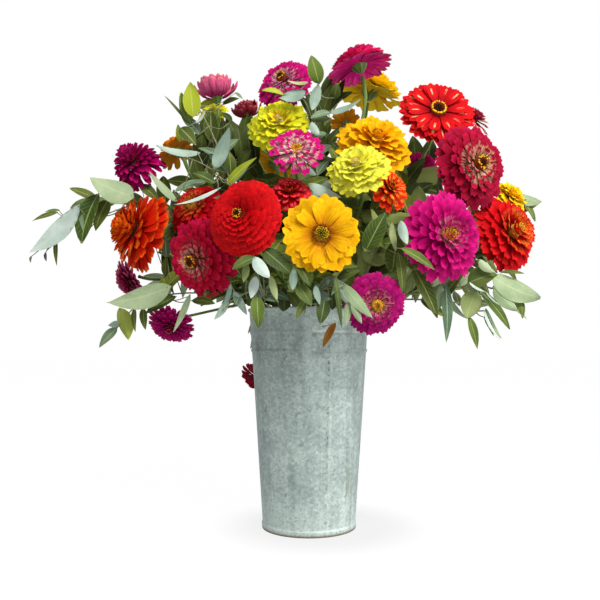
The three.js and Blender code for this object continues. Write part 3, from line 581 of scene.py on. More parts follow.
# Petal colours: at the root, in the middle, at the tip, and underneath. The dark root colours are
# partly the petals' own colour and partly painted shade where the petals crowd round the eye.
PETALS = {
    "scarlet": ((0.30, 0.001, 0.004), (0.64, 0.004, 0.008), (0.72, 0.008, 0.010), (0.54, 0.012, 0.014)),
    "crimson": ((0.10, 0.001, 0.010), (0.52, 0.004, 0.026), (0.70, 0.008, 0.080), (0.50, 0.02, 0.05)),
    # A darker copy of crimson, painted shade, for crimson_right.
    "painted_dark_crimson": ((0.08, 0.001, 0.006), (0.34, 0.002, 0.022), (0.42, 0.004, 0.050), (0.38, 0.01, 0.05)),
    "maroon": ((0.16, 0.001, 0.004), (0.60, 0.003, 0.010), (0.74, 0.010, 0.012), (0.54, 0.02, 0.02)),
    "burgundy": ((0.10, 0.002, 0.010), (0.32, 0.008, 0.030), (0.74, 0.14, 0.20), (0.30, 0.04, 0.04)),
    "flame": ((0.30, 0.002, 0.002), (0.78, 0.020, 0.004), (0.92, 0.12, 0.005), (0.92, 0.20, 0.006)),
    "orange": ((0.70, 0.10, 0.002), (0.95, 0.36, 0.003), (0.98, 0.52, 0.01), (0.85, 0.34, 0.01)),
    "gold": ((0.56, 0.16, 0.001), (0.94, 0.46, 0.002), (0.98, 0.54, 0.004), (0.92, 0.50, 0.02)),
    "yellow": ((0.70, 0.34, 0.001), (0.94, 0.60, 0.003), (0.98, 0.68, 0.03), (0.92, 0.60, 0.04)),
    # A lit copy of gold, painted light, for crown_gold.
    "painted_lit_gold": ((0.80, 0.40, 0.002), (0.98, 0.68, 0.003), (1.0, 0.78, 0.02), (1.0, 0.76, 0.02)),
    "lime": ((0.62, 0.40, 0.01), (0.82, 0.76, 0.02), (0.68, 0.72, 0.03), (0.56, 0.60, 0.05)),
    "pale": ((0.80, 0.62, 0.05), (0.90, 0.86, 0.08), (0.84, 0.84, 0.05), (0.70, 0.70, 0.05)),
    "magenta": ((0.22, 0.001, 0.055), (0.54, 0.002, 0.15), (0.64, 0.010, 0.20), (0.48, 0.03, 0.16)),
    # Cerise with painted light: lighter overall and lighter underneath than on its face, for crown_crimson.
    "cerise_painted_lit": ((0.46, 0.001, 0.10), (0.82, 0.003, 0.24), (0.90, 0.08, 0.26), (0.95, 0.02, 0.32)),
    "violet": ((0.12, 0.001, 0.04), (0.47, 0.002, 0.15), (0.55, 0.03, 0.15), (0.52, 0.02, 0.17)),
    # A darker copy of magenta, painted shade, for magenta_low.
    "painted_dark_magenta": ((0.16, 0.001, 0.04), (0.42, 0.003, 0.14), (0.52, 0.012, 0.19), (0.40, 0.03, 0.15)),
    "purple": ((0.10, 0.001, 0.03), (0.50, 0.002, 0.14), (0.62, 0.010, 0.20), (0.44, 0.02, 0.15)),
    "mauve": ((0.34, 0.003, 0.12), (0.80, 0.08, 0.24), (0.78, 0.38, 0.26), (0.66, 0.05, 0.22)),
}
# Blooms painted otherwise than their kind. Four of these carry painted light and shade: crown_gold is
# painted lighter all over, crown_crimson lighter and lightest underneath, crimson_right and
# magenta_low darker.
PAINTED_AS = {"crown_crimson": "cerise_painted_lit", "pale_lime": "pale", "dark_red_left": "maroon",
              "crimson_right": "painted_dark_crimson", "yellow_right": "yellow", "crown_gold": "painted_lit_gold",
              "purple_left_low": "violet", "purple_hanging": "violet", "magenta_low": "painted_dark_magenta"}
# Streaks on some blooms: colour, strength, where along the petal they lie, the layers they reach from
# here inwards, and how wide they run to each side of the midrib.
STREAKS = {
    "striped_magenta": ((0.92, 0.80, 0.60), 1.0, 0.05, 0.82, 0.0, 1.0),
    "top_magenta": ((0.95, 0.80, 0.80), 0.95, 0.0, 0.75, 0.25, 1.0),
    "scarlet_striped": ((0.94, 0.66, 0.32), 0.95, 0.5, 0.95, 0.0, 0.15),
    "crimson_right": ((0.80, 0.58, 0.34), 0.9, 0.0, 0.8, 0.55, 1.0),
    "crimson_left": ((0.92, 0.62, 0.46), 0.95, 0.0, 0.8, 0.68, 1.0),
    "dark_red_left": ((0.95, 0.40, 0.04), 0.8, 0.1, 0.9, 0.62, 1.0),
    "small_flame": ((0.95, 0.58, 0.05), 0.9, 0.3, 1.0, 0.2, 0.5),
    "flame_left": ((0.95, 0.60, 0.02), 0.9, 0.55, 1.0, 0.3, 0.5),
    "magenta_low": ((0.85, 0.50, 0.28), 0.85, 0.0, 0.8, 0.5, 1.0),
    "mauve_half_open": ((0.82, 0.56, 0.56), 0.7, 0.35, 0.95, 0.0, 1.0),
    "magenta_right": ((0.88, 0.50, 0.58), 0.7, 0.0, 0.8, 0.65, 1.0),
    "scarlet_right": ((0.95, 0.46, 0.03), 0.65, 0.5, 1.0, 0.55, 1.0),
    "crown_crimson": ((0.92, 0.46, 0.36), 0.8, 0.5, 1.0, 0.0, 0.6),
    "purple_right": ((0.85, 0.66, 0.08), 0.95, 0.6, 1.0, 0.0, 1.0),
    "purple_left_low": ((0.80, 0.40, 0.24), 0.7, 0.6, 1.0, 0.0, 0.8),
    "small_scarlet": ((0.95, 0.20, 0.26), 0.8, 0.65, 1.0, 0.0, 0.8),
    "gold_front": ((0.62, 0.22, 0.002), 0.6, 0.0, 0.7, 0.0, 1.0),
    "gold_top": ((0.72, 0.26, 0.002), 0.6, 0.0, 0.6, 0.0, 1.0),
    "lime_large": ((0.86, 0.46, 0.01), 0.8, 0.0, 0.8, 0.6, 1.0),
    "crown_gold": ((0.80, 0.40, 0.002), 0.6, 0.0, 0.7, 0.0, 1.0),
}


def blade_grid(rows, columns):
    """A closed blade's grid: an upper and a lower sheet over along (0 to 1) and across (-1 to 1),
    which share the points of the rim. Gives along, across, side (1, -1, or 0 on the rim), the row of
    every point, the number of rows, and quads."""
    along, across = np.meshgrid(np.linspace(0, 1, rows + 1), np.linspace(-1, 1, columns + 1),
                                indexing="ij")
    rim = (along == 0) | (along == 1) | (np.abs(across) == 1)
    upper = np.arange(rim.size).reshape(rim.shape)
    lower = upper.copy()
    lower[~rim] = rim.size + np.arange((~rim).sum())
    quads = [np.stack([sheet[:-1, :-1], sheet[1:, :-1], sheet[1:, 1:], sheet[:-1, 1:]], -1).reshape(-1, 4)
             for sheet in (upper, lower)]
    along, across, row = (np.concatenate([values.ravel(), values[~rim]])
                          for values in (along, across, np.indices(rim.shape)[0]))
    side = np.concatenate([np.where(rim, 0, 1).ravel(), np.full((~rim).sum(), -1)])
    return {"along": along, "across": across, "side": side, "row": row, "rows": rows,
            "quads": np.vstack([quads[0], quads[1][:, ::-1]])}


def grow(grid, outline, root, out, up, length, half, rise, turn, cup, wave, sag, thick, chance, layer,
         kind, notch=0.0):
    """Many blades on one grid; each of length to layer is one number, or one for every blade. A midrib
    leaves its root at angle rise and has turned by turn * s^1.3 at s along. A point lies w * half *
    outline(s) beside it, lifted by half * cup * w^2 * outline(s) and a wave half * wave * sin(5 s +
    6.3 chance) * w, with thick * (1 - w^2) between the two sheets, and the whole blade sags by sag *
    length * s^2. The tip's middle is drawn back by notch * length * s^8 * exp(-(w / 0.4)^2)."""
    count = len(root)
    length, half, rise, turn, cup, sag, chance, layer = (
        np.broadcast_to(value, count)[:, None]
        for value in (length, half, rise, turn, cup, sag, chance, layer))
    s, w, side = grid["along"], grid["across"], grid["side"]
    middle = (np.arange(grid["rows"]) + 0.5) / grid["rows"]
    angle = rise + turn * middle ** 1.3
    start = np.zeros((count, 1))
    ahead, above = (np.hstack([start, np.cumsum(length / grid["rows"] * part, 1)])[:, grid["row"]]
                    for part in (np.cos(angle), np.sin(angle)))
    slope = rise + turn * s ** 1.3
    wide = half * outline(s) * w
    lift = half * (cup * w ** 2 * outline(s) + wave * np.sin(5 * s + 6.3 * chance) * w)
    lift += 0.5 * thick * side * (1 - w ** 2)
    ahead = ahead - lift * np.sin(slope) - notch * length * s ** 8 * np.exp(-((w / 0.4) ** 2))
    above = above + lift * np.cos(slope)
    points = root[:, None]
    for amount, way in ((ahead, out), (above, up), (wide, np.cross(up, out))):
        points = points + amount[..., None] * way[:, None]
    points[..., 2] -= sag * length * s ** 2
    marks = np.zeros((count, len(s), 6))
    for column, values in enumerate((s, w, side, chance, layer)):
        marks[..., column] = values
    quads = grid["quads"] + (np.arange(count) * len(s))[:, None, None]
    return points.reshape(-1, 3), [quads.reshape(-1, 4)], kind, marks.reshape(-1, 6)


def petal_outline(blunt):
    """Gives the half width along a petal: narrow at the root, widest at w = 0.72 to 0.86, round at the
    tip: (0.24 + 0.76 sin(pi/2 min(s / w, 1))) (1 - cut ((s - w) / (1 - w))^3), cut 0.62 to 0.36."""
    widest, cut = 0.72 + 0.14 * blunt, 0.62 - 0.26 * blunt

    def outline(s):
        body = 0.24 + 0.76 * np.sin(0.5 * math.pi * np.clip(s / widest, 0, 1))
        return body * (1 - cut * np.clip((s - widest) / (1 - widest), 0, 1) ** 3)

    return outline


def whorls_of(form, draw):
    """For every petal its layer, 0 outside to 1 inside, and its bearing. Petals of a whorl stand at
    equal steps, each whorl turned by the golden angle, with small random shifts of both."""
    counts = form["whorls"]
    step = 1 / (len(counts) - 1)
    layer = np.concatenate([np.full(n, i * step) for i, n in enumerate(counts)])
    bearing = np.concatenate([GOLDEN_TURN * i + 2 * math.pi * np.arange(n) / n
                              for i, n in enumerate(counts)])
    total = len(layer)
    layer = np.clip(layer + 0.45 * step * (draw.random(total) - 0.5), 0, 1)
    gap = 2 * math.pi / np.repeat(counts, counts)
    return layer, bearing + 0.3 * gap * (draw.random(total) - 0.5)


def bloom_petals(form, middle, radius, across, third, axis, draw):
    """A bloom's petals. Every measure runs from its outer to its inner value with the layer, the angle
    at which a petal sets out with layer^speed, and each petal differs a little."""
    layer, bearing = whorls_of(form, draw)
    total = len(layer)
    uneven = form["even"]

    def runs(name, speed=1.0, spread=0.0):
        outer, inner = form[name]
        stray = 1 + uneven * spread * (draw.random(total) - 0.5)
        return (outer + (inner - outer) * layer ** speed) * stray

    out = bearings(bearing, across, third)
    root = middle + radius * (runs("root")[:, None] * out + runs("seat")[:, None] * axis)
    roll = 0.3 * uneven * (draw.random(total) - 0.5)[:, None]
    return grow(
        blade_grid(PETAL_ROWS, PETAL_COLUMNS), petal_outline(form["blunt"]), root, out,
        unit(axis * np.cos(roll) + np.cross(axis, out) * np.sin(roll)),
        radius * runs("length", 1.0, 0.12), radius * runs("half", 1.0, 0.16),
        np.radians(runs("rise", form["speed"]) + 9 * uneven * (draw.random(total) - 0.5)),
        np.radians(runs("turn") + 12 * uneven * (draw.random(total) - 0.5)),
        runs("cup", 1.0, 0.5), form["wave"], 0, PETAL_THICK * MM, draw.random(total), layer, 0,
        form["notch"])


def spikes(root, heading, length, half, sides, kind, chance):
    """Many closed little spikes: each has a ring of points root + half (cos a, sin a) and two ends,
    one at length along its heading and one sunk half as deep."""
    count = len(root)
    length, half = (np.broadcast_to(value, count)[:, None] for value in (length, half))
    helper = np.where(np.abs(heading[:, 2:3]) < 0.8, [[0, 0, 1.0]], [[1.0, 0, 0]])
    across = unit(np.cross(heading, helper))
    third = np.cross(heading, across)
    angle = np.arange(sides) * 2 * math.pi / sides
    ring = root[:, None] + half[..., None] * bearings(angle, across[:, None], third[:, None])
    ends = np.stack([root + length * heading, root - 0.5 * length * heading], 1)
    points = np.concatenate([ring, ends], 1)
    here = np.arange(sides)
    after = (here + 1) % sides
    faces = np.vstack([np.stack([here, after, np.full(sides, sides)], -1),
                       np.stack([after, here, np.full(sides, sides + 1)], -1)])
    faces = faces + (np.arange(count) * (sides + 2))[:, None, None]
    marks = np.ones((count, sides + 2, 6))
    marks[..., 0] = np.arange(sides + 2) == sides
    marks[..., 3] = chance[:, None]
    return points.reshape(-1, 3), [faces.reshape(-1, 3)], kind, marks.reshape(-1, 6)


def bloom_eye(form, middle, radius, across, third, axis, draw, ring=False):
    """The eye: dark pointed scales on a low dome, set at golden-angle steps, with uneven rows of yellow
    star florets round them, or one even close ring. Scale k of n, counted from 0, sits sqrt((k + 0.5)
    / n) of the inner eye's radius from the axis, and that share is its chance."""
    size = form["eye"] * radius
    level = form["eye_at"] * radius
    number = np.arange(EYE_SCALES)
    spread = np.sqrt((number + 0.5) / EYE_SCALES)
    out = bearings(GOLDEN_TURN * number, across, third)
    dome = level + 0.55 * size * (1 - spread ** 2)
    reach = 0.82 if ring else 0.62
    root = middle + (reach * size * spread)[:, None] * out + dome[:, None] * axis
    heading = unit(0.5 * spread[:, None] * out + axis)
    scales = spikes(root, heading, 0.42 * size, 0.15 * size, 4, 2, spread)
    count, turn = (RING_FLORETS, 2 * math.pi / RING_FLORETS) if ring else (LOOSE_FLORETS, GOLDEN_TURN)
    bearing = turn * np.arange(count) + 0.3 * draw.random(count)
    out = bearings(bearing, across, third)
    far = size * ((1.0 + 0.12 * draw.random(count)) if ring else (0.8 + 0.5 * draw.random(count)))
    root = middle + far[:, None] * out + (level + 0.35 * size) * axis
    heading = unit(0.45 * out + axis + 0.5 * (draw.random((count, 3)) - 0.5))
    stars = spikes(root, heading, 0.2 * size, size * (0.14 + 0.12 * draw.random(count)), 5, 1,
                   draw.random(count))
    core = tube(np.stack([middle + h * radius * axis for h in (-0.2, 0.0, form["eye_at"])]),
                radius * np.array([0.2, 0.22, form["eye"]]), 12, 2)
    return [scales, stars, core]


def bloom_frame(middle, diameter, facing):
    """A bloom's middle and radius in metres, and two directions across its axis and the axis."""
    axis = unit(facing)
    across = unit(np.cross((0.3, 0.1, 1.0), axis))
    return np.array(middle) * MM, 0.5 * diameter * MM, across, np.cross(axis, across), axis


def petal_finish(name, colour):
    """Velvety petal: its colours run from root to tip, the dark root partly its own colour and partly
    painted shade, fine ribs and streaks follow it, the back is paler, and no two petals are quite alike."""
    root, body, tip, back = PETALS[PAINTED_AS.get(name, colour)]
    petal = Finish(name + "_petal", Specular_IOR_Level=0.07)
    along, across, side = petal.marks("blade")
    chance, layer, _ = petal.marks("growth")
    shifted = 60 * chance
    ribs = petal.noise(petal.vector(5 * across, along, shifted), 1.6, 3)
    # The root colour is partly painted shade at the petals' bases.
    shade = petal.ramp(along + 0.35 * (ribs - 0.5), [(0.1, root), (0.55, body), (0.86, body), (0.98, tip)])
    if name in STREAKS:
        streak, strength, low, high, inner, width = STREAKS[name]
        lines = petal.noise(petal.vector(9 * across, 1.5 * along, shifted), 1.2, 2)
        band = (petal.step(along, low, low + 0.12) * petal.step(along, high, high - 0.2)
                * petal.step(layer, inner - 0.15, inner + 0.05)
                * petal.step(abs(across), 1.4 * width, 0.7 * width))
        shade = petal.mix(band * petal.step(lines, 0.46, 0.58) * strength, shade, streak)
    shade = petal.mix(0.6 * petal.step(side, 0.1, -0.4), shade, back)
    cloud = petal.noise(petal.vector(2.2 * across, along, shifted), 2.0, 2)
    value = 0.44 + 0.82 * (cloud + 0.4 * chance)
    shade = petal.mix(1.0, shade, petal.vector(value, value, value), "MULTIPLY")
    petal.relief(ribs, 0.0006, 0.7)
    return petal.done(shade, 0.55 + 0.25 * ribs)


def floret_finish(name, low, high):
    """Florets and scales of the eye: one colour at the root, one at the point, and a rough grain."""
    floret = Finish(name, Specular_IOR_Level=0.15)
    along, _, _ = floret.marks("blade")
    chance, _, _ = floret.marks("growth")
    grain = floret.noise(floret.place(), 900, 2)
    floret.relief(grain, 0.0002, 0.5)
    amount = along + 0.7 * (chance - 0.5)
    return floret.done(floret.ramp(amount, [(0.1, low), (0.8, high)]), 0.3 + grain)


# The eye's stars and scales: yellow round dark brown, unless the bloom's own are named here.
stars = floret_finish("disc_florets", (0.62, 0.16, 0.003), (0.95, 0.66, 0.02))
dark_eye = floret_finish("eye_scales", (0.02, 0.006, 0.002), (0.16, 0.03, 0.008))
brown_ring = floret_finish("brown_florets", (0.12, 0.03, 0.002), (0.28, 0.08, 0.003))
olive_eye = floret_finish("olive_scales", (0.08, 0.08, 0.006), (0.84, 0.50, 0.01))
amber_eye = floret_finish("amber_scales", (0.30, 0.05, 0.01), (0.86, 0.46, 0.05))
ochre_ring = floret_finish("ochre_florets", (0.55, 0.24, 0.004), (0.80, 0.46, 0.01))
cream_eye = floret_finish("cream_scales", (0.70, 0.52, 0.05), (0.88, 0.84, 0.45))
EYES = {name: eye for names, eye in (
    ("gold_front", (brown_ring, olive_eye)), ("gold_top", (brown_ring, ochre_ring)),
    ("magenta_right scarlet_right magenta_low striped_magenta dark_red_left", (stars, amber_eye)),
    ("crown_gold", (ochre_ring, ochre_ring)), ("pale_lime lime_large", (ochre_ring, cream_eye)),
    ("lime_left yellow_right back_gold back_lime", (ochre_ring, olive_eye)),
) for name in names.split()}
for number, (name, colour, shape, *pose, _) in enumerate(BLOOMS):
    form = dict(zip(FORM_PARTS, FORMS[GROWN_AS.get(name, shape)]))
    draw = np.random.default_rng(PETAL_SEED + number)
    frame_of = bloom_frame(*pose)
    parts = [bloom_petals(form, *frame_of, draw),
             *bloom_eye(form, *frame_of, draw, name in ("gold_front", "scarlet_striped"))]
    finishes = [petal_finish(name, colour), *EYES.get(name, (stars, dark_eye))]
    keep(name + "_head", parts, "petals_" + colour, name, finishes)

# The calyxes: the green cup under every head, of rows of blunt bracts that overlap like tiles, each
# with a dark papery edge. It joins the stem to the petals' roots.
CALYX_ROWS = 5
CALYX_PER_ROW = 13
CALYX_SEED = 300
CALYX_SINK = 4 * MM
CALYX_WIDE = 0.27
BRACT_THICK = 0.5 * MM


def bract_outline(s):
    """Half width along a bract: nearly as wide all the way, round at the end: sqrt(1 - 0.9 s^6)."""
    return np.sqrt(1 - 0.9 * s ** 6)


def cup_swell(h):
    """The cup's radius at height fraction h, over its widest: 0.28 + 0.72 sin(pi/2 h)."""
    return 0.28 + 0.72 * np.sin(0.5 * math.pi * h)


def calyx_parts(depth, middle, radius, across, third, axis, draw):
    """A cup from the stem's top to the petals' roots and the bracts that cover it."""
    low = -depth * radius - CALYX_SINK
    high = -0.1 * radius
    wide = CALYX_WIDE * radius
    rise = np.linspace(0, 1, 7)
    swell = wide * cup_swell(rise)
    cup = tube(middle + (low + (high - low) * rise)[:, None] * axis, swell, 14, 0)
    row = np.repeat(np.arange(CALYX_ROWS), CALYX_PER_ROW)
    bearing = (np.arange(len(row)) + 0.5 * row) * 2 * math.pi / CALYX_PER_ROW
    at = (row + 0.3) / (CALYX_ROWS + 0.6)
    out = bearings(bearing, across, third)
    size = wide * cup_swell(at)
    root = middle + size[:, None] * out + (low + (high - low) * at)[:, None] * axis
    count = len(row)
    bracts = grow(blade_grid(3, 2), bract_outline, root, np.tile(axis, (count, 1)), out,
                  1.5 * (high - low) / CALYX_ROWS, 0.24 * size, 0.25, -0.5, -0.3, 0, 0, BRACT_THICK,
                  draw.random(count), at, 1)
    return [cup, bracts]


def bract_finish():
    """Bracts: green, darkening to a brown papery edge at the tip."""
    bract = Finish("calyx_bracts", Specular_IOR_Level=0.35)
    along, _, _ = bract.marks("blade")
    grain = bract.noise(bract.place(), 500, 3)
    bract.relief(grain, 0.0003, 0.5)
    tones = [(0.3, (0.13, 0.24, 0.04)), (0.85, (0.20, 0.30, 0.06)), (1.0, (0.07, 0.05, 0.02))]
    return bract.done(bract.ramp(along + 0.3 * grain, tones), 0.55)


parts = []
for number, (_, _, shape, *pose, _) in enumerate(BLOOMS):
    draw = np.random.default_rng(CALYX_SEED + number)
    parts += calyx_parts(BACK_DEPTH[shape], *bloom_frame(*pose), draw)
keep("calyxes", parts, "stem_green", None, [green, bract_finish()])

# The zinnia leaves: in opposite pairs up the flower stems, rough, dark green and pointed, clasping
# the stem. They fill the bunch between and behind the blooms.
LEAF_ROWS = 9
LEAF_COLUMNS = 4
LEAF_THICK = 0.6
STEM_LEAF_SPACING = 27
STEM_LEAF_LENGTH = 62
STEM_LEAF_HALF = 13
STEM_LEAF_TOP = 600
STEM_LEAF_FROM = 330
# How far from the two ends of a stem's leafy stretch the first and the last pair may stand.
FIRST_PAIR = 12
LAST_PAIR = 42
LOWEST_LEAF = 335
LEAST_STATIONS = 4
LEAF_SEED = 500
BACK_FROM = 80
PAIR_TURN = 0.8
# Stems whose leaves end lower than the others'.
LEAVES_END = {"burgundy_bud": 500}
# Where leaves may not lie: in front of a bloom's face, over its radius and its height.
FACE_REACH = 0.96
FACE_LOW = -0.3
FACE_HIGH = 1.6


def leaf_outline(s):
    """Half width along a leaf, never quite nothing at its ends: 0.03 + 0.97 sin(pi s^0.8)^0.85."""
    return 0.03 + 0.97 * np.sin(math.pi * np.clip(s, 0, 1) ** 0.8).clip(0) ** 0.85


def outlook(root):
    """The way a leaf's upper face looks: (0.0015 x, -0.9 or at the back 0.9, 0.5) for x in mm."""
    front = np.where(root[:, 1] > BACK_FROM, 0.9, -0.9)
    return unit(np.stack([0.0015 * root[:, 0], front, np.full(len(root), 0.5)], -1))


def pairs_along(way, spacing, skip, draw, bare=0):
    """Where the leaves of opposite pairs leave a way in millimetres: points at equal distances along
    it, two to a point, each pair turned by PAIR_TURN against the last, up to bare short of its end.
    Gives roots, headings, sides and how far along the way each is."""
    gaps = np.linalg.norm(np.diff(way, axis=0), axis=1)
    length = np.concatenate([[0], np.cumsum(gaps)])
    at = np.arange(skip, max(length[-1] - bare, skip + 1), spacing)
    at = at + 0.3 * spacing * (draw.random(len(at)) - 0.5)
    root, slope = (np.stack([np.interp(at, length, values[:, k]) for k in range(3)], -1)
                   for values in (way, np.gradient(way, length, axis=0)))
    ahead = unit(slope)
    flat = unit(np.cross(ahead, outlook(root)))
    third = np.cross(ahead, flat)
    turn = PAIR_TURN * (np.arange(len(at)) % 2) + 0.5 * (draw.random(len(at)) - 0.5)
    side = bearings(turn, flat, third)
    twice = [np.repeat(values, 2, axis=0) for values in (root, ahead, side, at / length[-1])]
    twice[2] = twice[2] * np.where(np.arange(2 * len(at)) % 2, -1, 1)[:, None]
    return twice


def clear_of_blooms(points):
    """True for each leaf none of whose sample points (leaf, sample, xyz) is inside or before a bloom."""
    free = np.ones(len(points), bool)
    for _, _, _, middle, diameter, facing, _ in BLOOMS:
        axis = unit(facing)
        radius = diameter / 2
        off = points - np.array(middle)
        high = off @ axis
        wide = np.linalg.norm(off - high[..., None] * axis, axis=-1)
        inside = (wide < FACE_REACH * radius) & (high > FACE_LOW * radius) & (high < FACE_HIGH * radius)
        free &= ~inside.any(1)
    return free


def leaves_on(root, ahead, side, lean, length, half, sag, flip, draw, kind, lowest):
    """Leaves at roots in mm. Each heads cos(lean) ahead + sin(lean) side and lies with its face to the
    outlook, or turned over, folds a little along its midrib and bends back. Those that would
    lie in or before a bloom, or hang lower than lowest, are left out."""
    lean, length, half, sag = (np.broadcast_to(value, len(root)) for value in (lean, length, half, sag))
    heading = unit(bearings(lean, ahead, side))
    look = outlook(root) + 0.5 * (draw.random((len(root), 3)) - 0.5)
    face = unit(look - (look * heading).sum(1)[:, None] * heading)
    face = face * np.where(draw.random(len(root)) < flip, -1, 1)[:, None]
    reach = root[:, None] + heading[:, None] * (length[:, None] * np.array([0.35, 0.7, 1.0]))[..., None]
    reach[..., 2] -= (sag * length)[:, None] * np.array([0.12, 0.5, 1.0])
    free = clear_of_blooms(reach) & (reach[..., 2].min(1) > lowest)
    spread = draw.random((4, len(root)))[:, free]
    return grow(blade_grid(LEAF_ROWS, LEAF_COLUMNS), leaf_outline, root[free] * MM, heading[free],
                face[free], length[free] * MM, half[free] * MM, 0.3 * spread[0], -0.9 * spread[1] + 0.1,
                0.5 * spread[2] + 0.1, 0.12, sag[free], LEAF_THICK * MM, spread[3], 0, kind)


def leaf_finish(name, upper, lower, vein):
    """A leaf's upper and lower side, a pale midrib with side veins that slant forward, soft mottling,
    and relief from the veins."""
    leaf = Finish(name, Specular_IOR_Level=0.22)
    along, across, side = leaf.marks("blade")
    chance, _, _ = leaf.marks("growth")
    wide = abs(across)
    rib = leaf.step(wide, 0.1, 0.03)
    veins = leaf.step(leaf.maths("SINE", 58 * along - 13 * wide), 0.86, 0.98)
    lines = leaf.maths("MAXIMUM", rib, 0.35 * veins)
    mottle = leaf.noise(leaf.place(), 45, 4)
    tone = mottle + 0.5 * (chance - 0.5)
    above, below = (
        leaf.mix(share * lines, leaf.ramp(tone, [(0.25, dark), (0.75, light)]), vein)
        for share, (dark, light) in ((0.8, upper), (0.4, lower)))
    leaf.relief(lines + 0.6 * mottle, 0.0006, -0.5)
    return leaf.done(leaf.mix(leaf.step(side, 0.3, -0.3), above, below), 0.5 + 0.2 * mottle)


parts = []
for number, (name, way) in enumerate(ways.items()):
    draw = np.random.default_rng(LEAF_SEED + number)
    leafy = way[(way[:, 2] > STEM_LEAF_FROM) & (way[:, 2] < LEAVES_END.get(name, STEM_LEAF_TOP))]
    if len(leafy) < LEAST_STATIONS:
        continue
    root, ahead, side, _ = pairs_along(leafy, STEM_LEAF_SPACING, FIRST_PAIR, draw, LAST_PAIR)
    size = 0.75 + 0.55 * draw.random(len(root))
    parts.append(leaves_on(root, ahead, side, 0.7 + 0.6 * draw.random(len(root)),
                           STEM_LEAF_LENGTH * size, STEM_LEAF_HALF * size, 0.3 * draw.random(len(root)),
                           0.15, draw, 0, LOWEST_LEAF))
dark_leaf = leaf_finish("zinnia_leaf", ((0.04, 0.07, 0.006), (0.17, 0.22, 0.02)),
                        ((0.16, 0.21, 0.05), (0.30, 0.36, 0.10)), (0.36, 0.42, 0.12))
keep("zinnia_leaves", parts, "leaf_green", None, [dark_leaf])

# The foliage sprays: thin woody stems with long oval leaves in opposite pairs, dusty green above and
# silvery underneath. They stand round the flower stems, arch over the rim and hang at the sides.
SPRAY_FOOT_RADIUS = 58
SPRAY_MOUTH_RADIUS = 83
SPRAY_MOUTH_HEIGHT = 341
SPRAY_STEM_RADIUS = 1.7
SPRAY_SPACING = 25
SPRAY_FIRST_PAIR = 8
SPRAY_SEED = 700
SPRAY_SIDES = 7
ARM_SHARE = 0.7
# The station of a spray's way, past the mouth, from which on it carries leaves.
LEAFY_FROM = 11
# Every spray: name, tone, bearing of its stem in the mouth, leaf length and half width, its way from
# the mouth outwards, and arms that leave the way at the point with the given number, in mm.
SPRAYS = [
    ("spray_left_high", "sage", 184, 80, 14,
     [(-125, 25, 405), (-205, 50, 468), (-280, 20, 500), (-338, -35, 484), (-374, -58, 446)],
     [(3, (-310, -40, 470), (-322, -66, 446))]),
    ("spray_left_low", "sage", 200, 74, 13.5,
     [(-118, -44, 350), (-180, -30, 358), (-238, -80, 342), (-264, -90, 318)], []),
    ("spray_right_high", "sage", 6, 62, 11.5,
     [(135, 30, 395), (220, 60, 445), (290, 66, 472), (332, 48, 490)], []),
    ("spray_right_out", "sage", 340, 74, 13,
     [(125, -48, 350), (190, -72, 360), (245, -72, 366), (286, -64, 356)], []),
    ("spray_right_drop", "olive", 328, 60, 9.5,
     [(112, -74, 345), (165, -92, 344), (214, -98, 338), (240, -86, 326)],
     [(2, (188, -110, 334), (198, -118, 322))]),
    ("spray_right_mid", "green", 312, 56, 11.5, [(78, -86, 375), (98, -100, 420), (110, -110, 448)], []),
    ("spray_front_left", "grey", 250, 38, 7,
     [(-40, -100, 354), (-64, -136, 356), (-94, -160, 344), (-112, -172, 326)],
     [(2, (-58, -162, 342), (-62, -176, 324))]),
    ("spray_front_right", "grey", 265, 38, 7,
     [(0, -104, 354), (10, -140, 354), (0, -165, 340), (-6, -175, 322)],
     [(2, (38, -158, 360), (52, -190, 354), (58, -202, 338))]),
    ("spray_top_centre", "grey", 298, 42, 9,
     [(34, -60, 420), (14, -40, 520), (8, -44, 600), (12, -50, 664)],
     [(3, (-4, -60, 632), (-20, -80, 644)), (3, (32, -62, 622), (48, -76, 634))]),
    ("spray_left_top", "grey", 214, 52, 9.5,
     [(-84, -58, 420), (-112, -58, 510), (-140, -56, 585), (-162, -62, 628)],
     [(2, (-146, -92, 534), (-172, -110, 542))]),
    ("spray_back_left", "sage", 146, 70, 12,
     [(-140, 110, 385), (-210, 165, 402), (-264, 200, 390), (-296, 215, 356)], []),
    ("spray_back_centre", "olive", 108, 62, 11,
     [(-50, 130, 370), (-75, 190, 385), (-85, 235, 350), (-90, 250, 300)], []),
    ("spray_back_right", "sage", 36, 70, 12,
     [(135, 100, 375), (200, 155, 388), (258, 195, 382), (292, 212, 350)], []),
    ("spray_back_low", "grey", 62, 54, 10,
     [(55, 115, 352), (85, 165, 364), (105, 200, 350), (114, 222, 318)], []),
    ("spray_back_top", "olive", 88, 52, 10,
     [(8, 90, 420), (6, 96, 540), (12, 92, 610), (16, 86, 664)], []),
]
